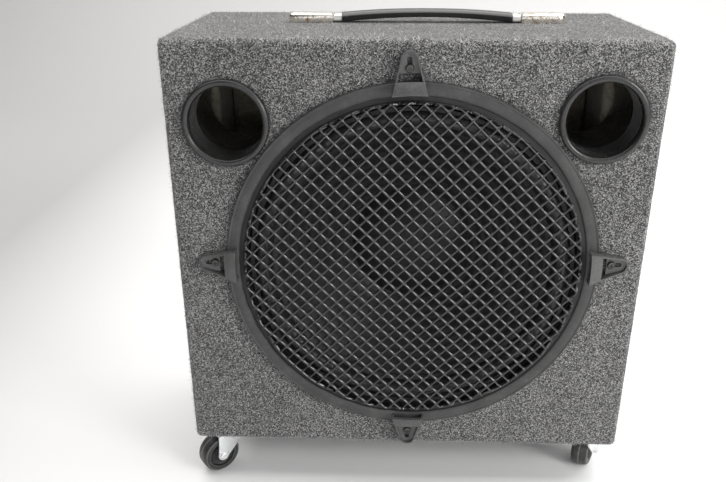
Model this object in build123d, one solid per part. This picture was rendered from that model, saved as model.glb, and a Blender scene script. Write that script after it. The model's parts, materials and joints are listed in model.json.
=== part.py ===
"""Carpeted single-driver subwoofer cabinet on four swivel casters.

Millimetres. +Z is up, the front faces -Y and +X is to the right as seen from the front.
The origin is on the floor under the middle of the whole object.
Each function makes one sub-part in its final place and each node is written to parts/NODE.step.
"""
from build123d import *
import os
from math import cos, hypot, radians, sin

# Cabinet
CABINET_WIDTH = 500.0
CABINET_DEPTH = 240.0
CABINET_HEIGHT = 470.0
EDGE_RADIUS = 7.0
CARPET = 3.0
PANEL = 16.0
FRONT_Y = -112.0            # outer face of the carpet on the front
CASTER_HEIGHT = 60.0        # floor to the underside of the cabinet
WADDING_BACK = 26.0
WADDING_SIDE = 14.0
WADDING_GAP = 0.6

# Driver, placed by its axis
DRIVER_X = 3.0
DRIVER_UP = 232.5           # above the underside of the cabinet
FLANGE_RADIUS = 192.5
CUTOUT_RADIUS = 178.0
BOLT_CIRCLE = 185.5
BOLT_COUNT = 8
BOLT_RADIUS = 2.5
CONE_RADIUS = 150.5
COIL_RADIUS = 38.0
DUST_CAP_RADIUS = 66.0
DUST_CAP_RISE = 22.0
WINDOW_COUNT = 8
T_NUT_RADIUS = 3.2
BOARD_RADIUS = 124.0        # inner face of the terminal board from the driver's axis

# Driver depths behind the front face
LANDING = 7.0               # the surround's landing in the basket
LEDGE = 86.2                # the spider's landing
BASKET_FLOOR = 92.0
BASKET_BACK = 95.0
BASKET_SHEET = 3.0
CONE_EDGE = 11.0            # cone at its outer edge
CONE_NECK = 80.0            # cone at the voice coil
FORMER_END = 108.0
TOP_PLATE = 8.0
MAGNET = 20.0
BACK_PLATE = 8.0
COIL_LENGTH = 14.0

# Grille
GRILLE_FRONT = 12.0         # how far the mesh stands in front of the carpet
SHEET = 1.5
MESH_WALL_RADIUS = 179.5
MESH_SHOULDER = 2.5
MESH_FOOT_RADIUS = 194.8
FOOT_BASE = 3.4             # underside of the turned-out foot above the carpet
CELL_PITCH = 11.4
CELL_OPENING = 8.2
FOOT_THICK = 1.2
RING_RADIUS = 198.0
RING_INNER = 184.3
RING_FACE = 6.5             # front of the trim ring above the carpet

# Clamps: direction from the driver's axis, in degrees from +X
CLAMP_ANGLES = {"clamp_right": 1.6, "clamp_top": 91.8, "clamp_left": 179.3, "clamp_bottom": 270.0}
CLAMP_INNER = 187.0
CLAMP_LIP = 199.5           # outer edge of the lip over the ring
CLAMP_WELL = 206.0          # inner edge of the pad under the screw
CLAMP_TIP = 228.5
CLAMP_TIP_RADIUS = 9.1
CLAMP_ROOT_HALF = 18.4
CLAMP_WALL = 1.6
CLAMP_HEIGHT = 18.0
CLAMP_LIP_HEIGHT = 14.2     # front face at the lip's outer edge
CLAMP_TIP_HEIGHT = 6.8
CLAMP_ROOF = 3.2
CLAMP_PAD = 4.0
CLAMP_SCREW_AT = 211.0
CLAMP_SLOT = 9.0

# Ports: name to (x, height above the underside)
PORTS = {"left_port": (-187.0, 387.0), "right_port": (189.0, 393.5)}
PORT_BORE = 37.5
PORT_WALL = 2.5
PORT_FLANGE = 44.5
PORT_LIP = 6.0
PORT_LENGTH = 100.0
PORT_RING_COUNT = 6
PORT_RING_PITCH = 5.0

# Strap handle, on the top
HANDLE_X = 17.5
HANDLE_BACK = 140.0         # centre line behind the front face
HANDLE_LENGTH = 309.0
CAP_LENGTH = 50.0
CAP_WIDTH = 25.0
CAP_HEIGHT = 10.3
CAP_EDGE = 4.5
CAP_FLOOR = 1.6
CAP_ROOF = 1.5
STRAP_WIDTH = 15.0
STRAP_THICK = 1.5
STRAP_SEAT = 2.2            # underside of the strap ends above the cabinet top
STRAP_REACH = 117.0         # half the length of the strap's arched middle
HANDLE_LIFT = 2.0           # how far the strap can be pulled up
GRIP_LENGTH = 189.0
GRIP_WIDTH = 24.0
GRIP_THICK = 10.4
GRIP_END_UP = 5.5           # centre of the grip's ends above the cabinet top
GRIP_MIDDLE_UP = 10.3
FERRULE_LENGTH = 8.3
FERRULE_WIDTH = 21.0
FERRULE_UP = (0.9, 8.7)     # underside and top above the cabinet top
FERRULE_EDGE = 2.4

# Casters: name to (x of the swivel axis, end, heading of the wheel from the swivel axis)
CASTERS = {
    "front_left": (-216.0, -1, 219.0),
    "front_right": (220.0, -1, 61.0),
    "rear_left": (-218.0, 1, 15.0),
    "rear_right": (218.0, 1, 160.0),
}
CASTER_INSET = 35.0         # swivel axis from the front or back face
TRAIL = 18.0
WHEEL_RADIUS = 24.0
WHEEL_WIDTH = 20.0
AXLE_RADIUS = 3.0
FORK_INSIDE = 11.2          # half the gap between the fork's legs
FORK_SHEET = 2.0
FORK_EYE = 6.5
CROWN_TOP = 52.5
CROWN_FRONT = 14.0          # crown ahead of the swivel axis, away from the wheel
CROWN_BACK = 22.0
PLATE_SIZE = 46.0
PLATE_THICK = 2.5
PLATE_HOLES = 34.0
CUP_DEPTH = 4.5
RIVET_RADIUS = 4.0
RIVET_HEAD = 7.5
RUNNING = 0.06              # radial clearance of a running fit

# Input dish on the back
DISH_UP = 92.0
DISH_WIDTH = 110.0
DISH_TALL = 80.0
DISH_RECESS = 28.0
DISH_LIP = 2.0
DISH_FLOOR = 2.5
DISH_WALL = 2.5
JACKS = {"jack_input": -20.0, "jack_link": 20.0}
JACK_BORE = 3.25
JACK_DEPTH = 30.0
JACK_BUSH = 6.0
LEAD_RADIUS = 1.3

# Fasteners and clearances
WOOD_SCREW = 2.2
SCREW_HEAD = 4.1
SCREW_REACH = 15.0          # depth of the wood screws below the carpet's face
CLEAR = 0.1                 # round a screw or a bolt in its hole

HALF_W = CABINET_WIDTH / 2
BACK_Y = FRONT_Y + CABINET_DEPTH
BASE_Z = CASTER_HEIGHT
TOP_Z = BASE_Z + CABINET_HEIGHT
SKIN = CARPET + PANEL       # outer face of the carpet to the inside of a panel
DRIVER_Z = BASE_Z + DRIVER_UP
DISH_Z = BASE_Z + DISH_UP
HANDLE_Y = FRONT_Y + HANDLE_BACK
CONE_SLOPE = (CONE_NECK - CONE_EDGE) / (CONE_RADIUS - COIL_RADIUS)
GAP_MIDDLE = BASKET_BACK + TOP_PLATE / 2


def block(x, y, z):
    """Box between two values on each axis."""
    centre = Pos((x[0] + x[1]) / 2, (y[0] + y[1]) / 2, (z[0] + z[1]) / 2)
    return centre * Box(x[1] - x[0], y[1] - y[0], z[1] - z[0])


def along_y(radius, depth, x=DRIVER_X, z=DRIVER_Z):
    """Round bar along Y between two depths behind the front face."""
    middle = FRONT_Y + (depth[0] + depth[1]) / 2
    return Pos(x, middle, z) * Rot(90, 0, 0) * Cylinder(radius, depth[1] - depth[0])


def along_z(radius, x, y, z):
    """Upright round bar between two heights."""
    return Pos(x, y, (z[0] + z[1]) / 2) * Cylinder(radius, z[1] - z[0])


def turned(face, x=DRIVER_X, z=DRIVER_Z):
    """Revolve a profile of (radius, depth behind the front face) about an axis along Y."""
    return Pos(x, FRONT_Y, z) * revolve(face, Axis.Y, 360)


def outline(*points):
    """Flat face inside a closed polygon."""
    return make_face(Polyline(*points, close=True))


def round_driver(radius, count, first=0.0):
    """Centres (x, z) spaced evenly round the driver's axis."""
    angles = [radians(first + 360.0 * i / count) for i in range(count)]
    return [(DRIVER_X + radius * cos(a), DRIVER_Z + radius * sin(a)) for a in angles]


# ---------------------------------------------------------------- cabinet

def rounded_block(inset):
    """The cabinet's outer block, smaller by inset all round, with rounded edges."""
    x = (-HALF_W + inset, HALF_W - inset)
    y = (FRONT_Y + inset, BACK_Y - inset)
    z = (BASE_Z + inset, TOP_Z - inset)
    box = block(x, y, z)
    return fillet(box.edges(), EDGE_RADIUS - inset)


def bolt_centres():
    return round_driver(BOLT_CIRCLE, BOLT_COUNT, first=22.5)


def clamp_screw_centres():
    """Centres (x, z) of the four clamp screws."""
    centres = []
    for angle in CLAMP_ANGLES.values():
        x = DRIVER_X + CLAMP_SCREW_AT * cos(radians(angle))
        z = DRIVER_Z + CLAMP_SCREW_AT * sin(radians(angle))
        centres.append((x, z))
    return centres


def caster_axis(name):
    """Swivel axis (x, y) of one caster."""
    x, end, _ = CASTERS[name]
    middle = (FRONT_Y + BACK_Y) / 2
    return x, middle + end * (CABINET_DEPTH / 2 - CASTER_INSET)


def caster_screw_centres():
    """Centres (x, y) of the sixteen caster screws."""
    half = PLATE_HOLES / 2
    centres = []
    for name in CASTERS:
        x, y = caster_axis(name)
        for dx in (-half, half):
            for dy in (-half, half):
                centres.append((x + dx, y + dy))
    return centres


def handle_screw_centres():
    """Centres (x, y) of the two handle screws, in the middle of the end caps."""
    reach = HANDLE_LENGTH / 2 - CAP_LENGTH / 2
    return [(HANDLE_X - reach, HANDLE_Y), (HANDLE_X + reach, HANDLE_Y)]


def dish_screw_centres():
    """Centres (x, z) of the four screws in the corners of the input dish's lip."""
    dx = DISH_WIDTH / 2 - 5.0
    dz = DISH_TALL / 2 - 5.0
    return [(i * dx, DISH_Z + j * dz) for i in (-1, 1) for j in (-1, 1)]


def front_cuts():
    """Everything that passes through the front of the cabinet, as one cutting tool."""
    radius = PORT_BORE + PORT_WALL + 0.3
    cuts = [along_y(radius, (-1, 30), x, BASE_Z + up) for x, up in PORTS.values()]
    cuts += [along_y(WOOD_SCREW + CLEAR, (-1, SCREW_REACH), x, z) for x, z in clamp_screw_centres()]
    return cuts


def back_cuts():
    """The input dish's opening and its screw holes."""
    half_w = DISH_WIDTH / 2 - 10.0
    half_t = DISH_TALL / 2 - 10.0
    y = (BACK_Y - 30, BACK_Y + 1)
    cuts = [block((-half_w, half_w), y, (DISH_Z - half_t, DISH_Z + half_t))]
    depth = (CABINET_DEPTH - SCREW_REACH, CABINET_DEPTH + 1)
    cuts += [along_y(WOOD_SCREW + CLEAR, depth, x, z) for x, z in dish_screw_centres()]
    return cuts


def top_cuts():
    z = (TOP_Z - SCREW_REACH, TOP_Z + 1)
    return [along_z(WOOD_SCREW + CLEAR, x, y, z) for x, y in handle_screw_centres()]


def bottom_cuts():
    z = (BASE_Z - 1, BASE_Z + SCREW_REACH)
    cuts = [along_z(WOOD_SCREW + CLEAR, x, y, z) for x, y in caster_screw_centres()]
    rivet_room = RIVET_RADIUS + 4.0
    for name in CASTERS:
        cuts.append(along_z(rivet_room, *caster_axis(name), (BASE_Z - 1, BASE_Z + 5)))
    return cuts


def panels():
    """Six wooden panels: top and bottom over the sides, front and back let in between."""
    blank = rounded_block(CARPET)
    full_x = (-HALF_W, HALF_W)
    full_y = (FRONT_Y, BACK_Y)
    inner_x = HALF_W - SKIN
    inner_z = (BASE_Z + SKIN, TOP_Z - SKIN)
    top = block(full_x, full_y, (TOP_Z - SKIN, TOP_Z)) & blank
    bottom = block(full_x, full_y, (BASE_Z, BASE_Z + SKIN)) & blank
    left = block((-HALF_W, -inner_x), full_y, inner_z) & blank
    right = block((inner_x, HALF_W), full_y, inner_z) & blank
    front = block((-inner_x, inner_x), (FRONT_Y, FRONT_Y + SKIN), inner_z) & blank
    back = block((-inner_x, inner_x), (BACK_Y - SKIN, BACK_Y), inner_z) & blank
    front -= along_y(CUTOUT_RADIUS, (-1, 30))
    front -= [along_y(T_NUT_RADIUS + CLEAR, (-1, 30), x, z) for x, z in bolt_centres()]
    return {
        "top_panel": top - top_cuts(),
        "bottom_panel": bottom - bottom_cuts(),
        "left_side_panel": left,
        "right_side_panel": right,
        "front_baffle": front - front_cuts(),
        "back_panel": back - back_cuts(),
    }


def carpet_cover():
    """One carpet skin round the whole box, open for the driver, the ports and the dish."""
    skin = rounded_block(0) - rounded_block(CARPET)
    skin -= along_y(FLANGE_RADIUS + 1.0, (-1, CARPET + 1))
    return skin - front_cuts() - back_cuts() - top_cuts() - bottom_cuts()


def damping_wadding():
    """Soft lining: one slab on the back panel and one on each side behind the ports."""
    inner_x = HALF_W - SKIN - WADDING_GAP
    z = (BASE_Z + SKIN + 12.0, TOP_Z - SKIN - 12.0)
    against = BACK_Y - SKIN - WADDING_GAP
    back_y = (against - WADDING_BACK, against)
    side_y = (FRONT_Y + PORT_LENGTH + 8.0, back_y[0] - WADDING_GAP)
    back = block((-inner_x, inner_x), back_y, z)
    opening_x = (-DISH_WIDTH / 2, DISH_WIDTH / 2)
    opening_z = (DISH_Z - DISH_TALL / 2, DISH_Z + DISH_TALL / 2)
    back -= block(opening_x, (back_y[0] - 1, back_y[1] + 1), opening_z)
    left = block((-inner_x, -inner_x + WADDING_SIDE), side_y, z)
    right = block((inner_x - WADDING_SIDE, inner_x), side_y, z)
    return [back, left, right]


# ---------------------------------------------------------------- ports

def port(x, up):
    """Moulded port: rolled flange, plain tube and shallow rings inside the mouth."""
    outer = PORT_BORE + PORT_WALL
    roll = (PORT_FLANGE - PORT_BORE) / 2
    rise = PORT_LIP - roll
    edges = ThreePointArc((PORT_BORE, -rise), (PORT_BORE + roll, -PORT_LIP), (PORT_FLANGE, -rise))
    edges += Polyline((PORT_FLANGE, -rise), (PORT_FLANGE, 0), (outer, 0), (outer, PORT_LENGTH),
                      (PORT_BORE, PORT_LENGTH), (PORT_BORE, -rise))
    tube = turned(make_face(edges), x, BASE_Z + up)
    for i in range(PORT_RING_COUNT):
        depth = 4.0 + i * PORT_RING_PITCH
        ring = outline((PORT_BORE - 1, depth), (PORT_BORE + 1.2, depth + 0.6),
                       (PORT_BORE + 1.2, depth + 2.0), (PORT_BORE - 1, depth + 2.6))
        tube -= turned(ring, x, BASE_Z + up)
    return tube


# ---------------------------------------------------------------- driver

def driver_basket():
    """Pressed basket: bolted flange, surround landing, windowed cone and spider ledge."""
    shell = turned(outline(
        (FLANGE_RADIUS, 0), (176.0, 0), (174.0, LANDING), (163.0, LANDING), (108.0, LEDGE),
        (96.0, LEDGE), (96.0, BASKET_FLOOR), (42.0, BASKET_FLOOR), (42.0, BASKET_BACK),
        (110.0, BASKET_BACK), (165.5, LANDING + 2.8), (176.5, LANDING + 2.8), (177.3, 3.0),
        (FLANGE_RADIUS, 3.0)))
    window = Pos(130, FRONT_Y + 50, 0) * Box(90, 52, 66)
    for i in range(WINDOW_COUNT):
        shell -= Pos(DRIVER_X, 0, DRIVER_Z) * Rot(0, 360.0 * i / WINDOW_COUNT, 0) * window
    return shell - [along_y(BOLT_RADIUS + 0.3, (-1, 4), x, z) for x, z in bolt_centres()]


def driver_gasket():
    """Foam ring that fills the step in front of the surround's edge."""
    depth = (-1.0, LANDING - 1.1)
    return along_y(173.3, depth) - along_y(169.0, (depth[0] - 1, depth[1] + 1))


def surround():
    """Half-roll edge between the basket's landing and the cone."""
    flap = LANDING - 1.0
    outer_arc = ThreePointArc((168.5, flap), (159.5, -3.0), (CONE_RADIUS, CONE_EDGE - 1.2))
    inner_arc = ThreePointArc((167.4, LANDING), (159.3, -1.8), (CONE_RADIUS + 1.0, CONE_EDGE - 0.2))
    edges = outer_arc + inner_arc
    edges += Polyline((168.5, flap), (173.5, flap), (173.5, LANDING), (167.4, LANDING))
    edges += Polyline((CONE_RADIUS, CONE_EDGE - 1.2), (146.5, CONE_EDGE + 1.25),
                      (146.9, CONE_EDGE + 2.0), (CONE_RADIUS + 1.0, CONE_EDGE - 0.2))
    return turned(make_face(edges))


def cone_depth(radius):
    """Depth of the cone's front surface at a radius."""
    return CONE_EDGE + (CONE_RADIUS - radius) * CONE_SLOPE


def cone():
    """Straight paper cone, from the surround down to the voice coil."""
    thick = 1.5
    neck = COIL_RADIUS + 0.3
    outer_front = cone_depth(CONE_RADIUS) + 1.4
    neck_front = cone_depth(neck) + 1.4
    return turned(outline((CONE_RADIUS, outer_front), (neck, neck_front),
                          (neck, neck_front + thick), (CONE_RADIUS, outer_front + thick)))


def dust_cap():
    """Shallow dome glued to the front of the cone."""
    rim = cone_depth(DUST_CAP_RADIUS) + 1.2
    outer_radius = (DUST_CAP_RADIUS ** 2 + DUST_CAP_RISE ** 2) / (2 * DUST_CAP_RISE)
    centre = Pos(DRIVER_X, FRONT_Y + rim + outer_radius - DUST_CAP_RISE, DRIVER_Z)
    dome = centre * Sphere(outer_radius) - centre * Sphere(outer_radius - 1.0)
    return dome & along_y(DUST_CAP_RADIUS, (rim - DUST_CAP_RISE - 1, rim))


def voice_coil_former():
    start = cone_depth(COIL_RADIUS) + 0.5
    return along_y(COIL_RADIUS, (start, FORMER_END)) - along_y(COIL_RADIUS - 0.4, (start - 1, FORMER_END + 1))


def voice_coil_winding():
    depth = (GAP_MIDDLE - COIL_LENGTH / 2, GAP_MIDDLE + COIL_LENGTH / 2)
    return along_y(COIL_RADIUS + 0.95, depth) - along_y(COIL_RADIUS + 0.02, (depth[0] - 1, depth[1] + 1))


def spider():
    """Corrugated centring disc from the voice coil to the basket's ledge."""
    start = COIL_RADIUS + 0.15
    stop = 107.0
    level = LEDGE - 0.8
    waves = 6
    steps = waves * 2
    inner = start + 3.0
    outer = 97.0
    front = [(start, level)]
    for i in range(steps + 1):
        rise = 1.6 if i % 2 else -1.6
        front.append((inner + (outer - inner) * i / steps, level + rise))
    front += [(outer + 1.5, level), (stop, level)]
    back = [(r, d + 0.7) for r, d in reversed(front)]
    return turned(outline(*front, *back))


def magnet_top_plate():
    depth = (BASKET_BACK, BASKET_BACK + TOP_PLATE)
    return along_y(75.0, depth) - along_y(39.9, (depth[0] - 1, depth[1] + 1))


def magnet():
    depth = (BASKET_BACK + TOP_PLATE, BASKET_BACK + TOP_PLATE + MAGNET)
    return along_y(90.0, depth) - along_y(52.0, (depth[0] - 1, depth[1] + 1))


def pole_yoke():
    """Back plate and vented pole piece, one turned part."""
    plate = BASKET_BACK + TOP_PLATE + MAGNET
    yoke = along_y(75.0, (plate, plate + BACK_PLATE)) + along_y(36.8, (BASKET_BACK, plate + 1))
    return yoke - along_y(12.0, (BASKET_BACK - 1, plate + BACK_PLATE + 1))


def driver_terminals():
    """Terminal board on the basket's outside with two solder tags, on the +X side."""
    y = FRONT_Y + 84.0
    board = Pos(DRIVER_X + BOARD_RADIUS + 1.5, y, DRIVER_Z) * Box(3, 16, 34)
    foot = Pos(DRIVER_X + BOARD_RADIUS - 6, FRONT_Y + 89.5, DRIVER_Z) * Box(14, 5, 34)
    tags = [Pos(DRIVER_X + BOARD_RADIUS + 1.5, y - 12, DRIVER_Z + dz) * Box(1, 10, 4) for dz in (-9, 9)]
    return board + (foot - driver_basket()) + tags


def wire(points, radii, radius):
    """Round wire along straight runs joined by tangent arcs."""
    path = FilletPolyline(*points, radius=radii)
    return sweep(Plane(origin=path @ 0, z_dir=path % 0) * Circle(radius), path)


def tinsel_leads():
    """Two limp leads from the solder tags to the back of the cone."""
    leads = []
    for dz in (-9, 9):
        z = DRIVER_Z + dz
        points = [(DRIVER_X + BOARD_RADIUS + 0.9, FRONT_Y + 70.0, z),
                  (DRIVER_X + 104.0, FRONT_Y + 73.0, z),
                  (DRIVER_X + 80.0, FRONT_Y + 74.5, z),
                  (DRIVER_X + 60.0, FRONT_Y + 70.6, z)]
        leads.append(wire(points, [30.0, 30.0], 0.7))
    return leads


def driver_bolts():
    bolts = []
    for x, z in bolt_centres():
        bolts.append(along_y(SCREW_HEAD, (-3.0, 0), x, z) + along_y(BOLT_RADIUS, (-0.5, 22.0), x, z))
    return bolts


def t_nuts():
    nuts = []
    for x, z in bolt_centres():
        nut = along_y(T_NUT_RADIUS, (8.0, SKIN), x, z) + along_y(8.0, (SKIN, SKIN + 1.2), x, z)
        nuts.append(nut - along_y(BOLT_RADIUS + CLEAR, (7.0, SKIN + 2), x, z))
    return nuts


# ---------------------------------------------------------------- grille

def cell_centres():
    """Centres (x, z) of the square openings, in rows turned by 45 degrees."""
    reach = MESH_WALL_RADIUS - MESH_SHOULDER
    count = int(reach / CELL_PITCH) + 2
    centres = []
    for i in range(-count, count + 1):
        for j in range(-count, count + 1):
            x = (i - j) * CELL_PITCH / 2 ** 0.5
            z = (i + j) * CELL_PITCH / 2 ** 0.5
            if hypot(x, z) < reach + CELL_OPENING / 3:
                centres.append((x, z))
    return centres


def grille_mesh():
    """Pressed sheet: perforated flat, rounded shoulder, wall and turned-out foot."""
    flat = MESH_WALL_RADIUS - MESH_SHOULDER
    front = -GRILLE_FRONT
    wall_in = MESH_WALL_RADIUS - SHEET
    foot_top = -FOOT_BASE - FOOT_THICK
    bent = front + MESH_SHOULDER
    bend = MESH_SHOULDER * cos(radians(45))
    bend_in = (MESH_SHOULDER - SHEET) * cos(radians(45))
    edge = flat - 1.2
    edges = ThreePointArc((flat, front), (flat + bend, bent - bend), (MESH_WALL_RADIUS, bent))
    edges += ThreePointArc((flat, front + SHEET), (flat + bend_in, bent - bend_in), (wall_in, bent))
    edges += Polyline((MESH_WALL_RADIUS, bent), (MESH_WALL_RADIUS, foot_top), (MESH_FOOT_RADIUS, foot_top),
                      (MESH_FOOT_RADIUS, -FOOT_BASE), (wall_in, -FOOT_BASE), (wall_in, bent))
    edges += Polyline((flat, front), (edge, front), (edge, front + SHEET), (flat, front + SHEET))
    rim = turned(make_face(edges))
    cells = [Pos(x, z) * Rot(0, 0, 45) * Rectangle(CELL_OPENING, CELL_OPENING) for x, z in cell_centres()]
    lattice = Circle(flat - 0.6) - cells
    sheet = extrude(Plane.XZ * lattice, amount=SHEET)
    return Pos(DRIVER_X, FRONT_Y + front + SHEET, DRIVER_Z) * sheet + rim


def grille_trim_ring():
    """Rubber ring with a groove that grips the grille's foot."""
    groove = MESH_FOOT_RADIUS + 0.1
    groove_top = -FOOT_BASE - FOOT_THICK - 0.05
    groove_base = -FOOT_BASE + 0.05
    heel = 190.6
    return turned(outline(
        (RING_RADIUS, 0), (RING_RADIUS, -RING_FACE + 2.2), (RING_RADIUS - 0.7, -RING_FACE + 0.8),
        (RING_RADIUS - 2.2, -RING_FACE), (RING_INNER + 1.5, -RING_FACE), (RING_INNER + 0.2, -RING_FACE + 0.7),
        (RING_INNER, groove_top), (groove, groove_top), (groove, groove_base), (heel, groove_base),
        (heel, 0)))


def clamp_plan(start, wall):
    """The clamp's outline seen from the front, drawn in by a wall thickness."""
    centre = CLAMP_TIP - CLAMP_TIP_RADIUS
    half = CLAMP_ROOT_HALF - wall
    tip = CLAMP_TIP_RADIUS - wall
    sides = outline((start, -half), (centre, -tip), (centre, tip), (start, half))
    return sides + Pos(centre, 0) * Circle(tip)


def clamp_local():
    """Grille clamp with its radial direction along +X and its height along +Z."""
    start = CLAMP_INNER - 4.0
    end = CLAMP_TIP + 1.0
    tall = CLAMP_HEIGHT + 2.0
    envelope = outline((start, 0), (end, 0), (end, CLAMP_TIP_HEIGHT - 0.3), (CLAMP_LIP, CLAMP_LIP_HEIGHT),
                       (CLAMP_INNER + 1.2, CLAMP_HEIGHT), (start, CLAMP_HEIGHT))
    lip = outline((start, CLAMP_HEIGHT - CLAMP_ROOF), (CLAMP_LIP, CLAMP_LIP_HEIGHT - CLAMP_ROOF),
                  (CLAMP_LIP, tall), (start, tall))
    turned_envelope = revolve(Plane.XZ * envelope, Axis.Z, 360)
    turned_lip = revolve(Plane.XZ * lip, Axis.Z, 360)
    pad = block((CLAMP_WELL, end), (-30, 30), (-1, CLAMP_PAD))
    body = extrude(clamp_plan(start, 0), tall) & turned_envelope
    body -= extrude(clamp_plan(start - 1, CLAMP_WALL), tall) - turned_lip - pad
    body -= Cylinder(CLAMP_INNER, 3 * CLAMP_HEIGHT)
    body -= Cylinder(RING_RADIUS + 0.6, 2 * RING_FACE)
    slot = Pos(CLAMP_SCREW_AT + 4.0, 0) * SlotCenterToCenter(CLAMP_SLOT, 2 * WOOD_SCREW + 0.6)
    return body - extrude(slot, CLAMP_PAD + 1)


def clamp(angle):
    """The clamp turned to its place round the driver, standing on the carpet."""
    upright = Rot(90, 0, 0) * clamp_local()
    return Pos(DRIVER_X, FRONT_Y, DRIVER_Z) * Rot(0, -angle, 0) * upright


def cross_recess(size, depth):
    """Cutting tool for a cross-head drive, in the local XY plane, cutting down from Z=0."""
    arm = Box(2 * size, 1.2, 2 * depth)
    return arm + Rot(0, 0, 90) * arm


def wood_screw(reach, head_height=2.6):
    """Pan-head screw standing head up: the seat is at Z=0 and the shank runs down."""
    head = Pos(0, 0, head_height / 2) * Cylinder(SCREW_HEAD, head_height)
    head = fillet(head.edges().sort_by(Axis.Z)[-1], 1.4)
    shank = Pos(0, 0, -reach / 2) * Cylinder(WOOD_SCREW, reach)
    return head + shank - Pos(0, 0, head_height) * cross_recess(2.2, 1.2)


def clamp_screws():
    seat = CLAMP_PAD
    screw = Rot(90, 0, 0) * wood_screw(seat + SCREW_REACH - 1.0)
    return [Pos(x, FRONT_Y - seat, z) * screw for x, z in clamp_screw_centres()]


# ---------------------------------------------------------------- handle

def arch_point(along, offset=0.0):
    """Point (x, z) on the grip's arch, offset outward, at a distance from the middle."""
    rise = GRIP_MIDDLE_UP - GRIP_END_UP
    half = GRIP_LENGTH / 2
    radius = (half ** 2 + rise ** 2) / (2 * rise)
    angle = along / radius
    centre_z = TOP_Z + GRIP_MIDDLE_UP - radius
    return HANDLE_X + (radius + offset) * sin(angle), centre_z + (radius + offset) * cos(angle)


def ferrule(direction):
    """Metal sleeve on the strap between one end of the grip and its end cap."""
    near = GRIP_LENGTH / 2 + 0.5
    half = FERRULE_WIDTH / 2
    sleeve = block((near, near + FERRULE_LENGTH), (-half, half), FERRULE_UP)
    sleeve = fillet(sleeve.edges().filter_by(Axis.X), FERRULE_EDGE)
    turn = 0 if direction > 0 else 180
    return Pos(HANDLE_X, HANDLE_Y, TOP_Z) * Rot(0, 0, turn) * sleeve


def handle_strap_core():
    """Spring-steel strap: arched middle with two sleeves, flat slotted ends inside the caps."""
    half_thick = STRAP_THICK / 2
    outer = [arch_point(s, half_thick) for s in (-STRAP_REACH, 0, STRAP_REACH)]
    inner = [arch_point(s, -half_thick) for s in (-STRAP_REACH, 0, STRAP_REACH)]
    edges = ThreePointArc(*outer) + ThreePointArc(*inner)
    edges += Line(outer[0], inner[0]) + Line(outer[2], inner[2])
    side = make_face(edges)
    seat = TOP_Z + STRAP_SEAT
    end = HANDLE_LENGTH / 2 - 6.5
    for direction in (-1, 1):
        x_in = HANDLE_X + direction * (STRAP_REACH - 1.5)
        x_out = HANDLE_X + direction * end
        side += outline((x_in, seat), (x_out, seat), (x_out, seat + STRAP_THICK), (x_in, seat + STRAP_THICK))
    strap = Pos(0, HANDLE_Y, 0) * extrude(Plane.XZ * side, amount=STRAP_WIDTH / 2, both=True)
    slot = extrude(SlotCenterToCenter(10.0, 6.0), 40, both=True)
    for x, y in handle_screw_centres():
        strap -= Pos(x, y, TOP_Z) * slot
    return strap + ferrule(-1) + ferrule(1)


def handle_grip():
    """Moulded grip: a rounded flat section swept along the arch, hollow for the strap."""
    half = GRIP_LENGTH / 2
    points = [arch_point(s) for s in (-half, 0, half)]
    path = ThreePointArc(*[(x, HANDLE_Y, z) for x, z in points])
    section_plane = Plane(origin=path @ 0, x_dir=(0, 1, 0), z_dir=path % 0)
    section = RectangleRounded(GRIP_WIDTH, GRIP_THICK, GRIP_THICK * 0.42)
    section -= Rectangle(STRAP_WIDTH + 0.6, STRAP_THICK + 0.4)
    return sweep(section_plane * section, path)


def handle_end(direction):
    """End cap: rounded outer end, roof over the strap's slotted end, open towards the grip."""
    far = HANDLE_LENGTH / 2
    near = far - CAP_LENGTH
    roundness = CAP_WIDTH / 2 - 2.0
    plan = Rectangle(CAP_LENGTH - roundness, CAP_WIDTH)
    plan = Pos(near + (CAP_LENGTH - roundness) / 2, 0) * plan
    nose = Pos(far - roundness, 0) * (Rectangle(2 * roundness, CAP_WIDTH - 2 * roundness) + [
        Pos(0, side * (CAP_WIDTH / 2 - roundness)) * Circle(roundness) for side in (-1, 1)])
    cap = extrude(plan + nose, CAP_HEIGHT)
    cap = fillet(cap.edges().group_by(Axis.Z)[-1], CAP_EDGE)
    half_slot = STRAP_WIDTH / 2 + 0.8
    cap -= block((near - 1, far - 5.0), (-half_slot, half_slot), (CAP_FLOOR, CAP_HEIGHT - CAP_ROOF))
    cap -= along_z(WOOD_SCREW + CLEAR, far - CAP_LENGTH / 2, 0, (-1, 4))
    turn = 0 if direction > 0 else 180
    return Pos(HANDLE_X, HANDLE_Y, TOP_Z) * Rot(0, 0, turn) * cap


def handle_screws():
    """Screws whose heads hold the strap's slotted ends down and leave it its lift."""
    seat = STRAP_SEAT + STRAP_THICK + HANDLE_LIFT + 0.2
    screw = wood_screw(seat + SCREW_REACH - 1.0, head_height=1.8)
    return [Pos(x, y, TOP_Z + seat) * screw for x, y in handle_screw_centres()]


# ---------------------------------------------------------------- casters

def caster_frame(name):
    """Location on the floor under a caster's swivel axis, with local +X along its trail."""
    x, y = caster_axis(name)
    return Pos(x, y, 0) * Rot(0, 0, CASTERS[name][2])


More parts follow.
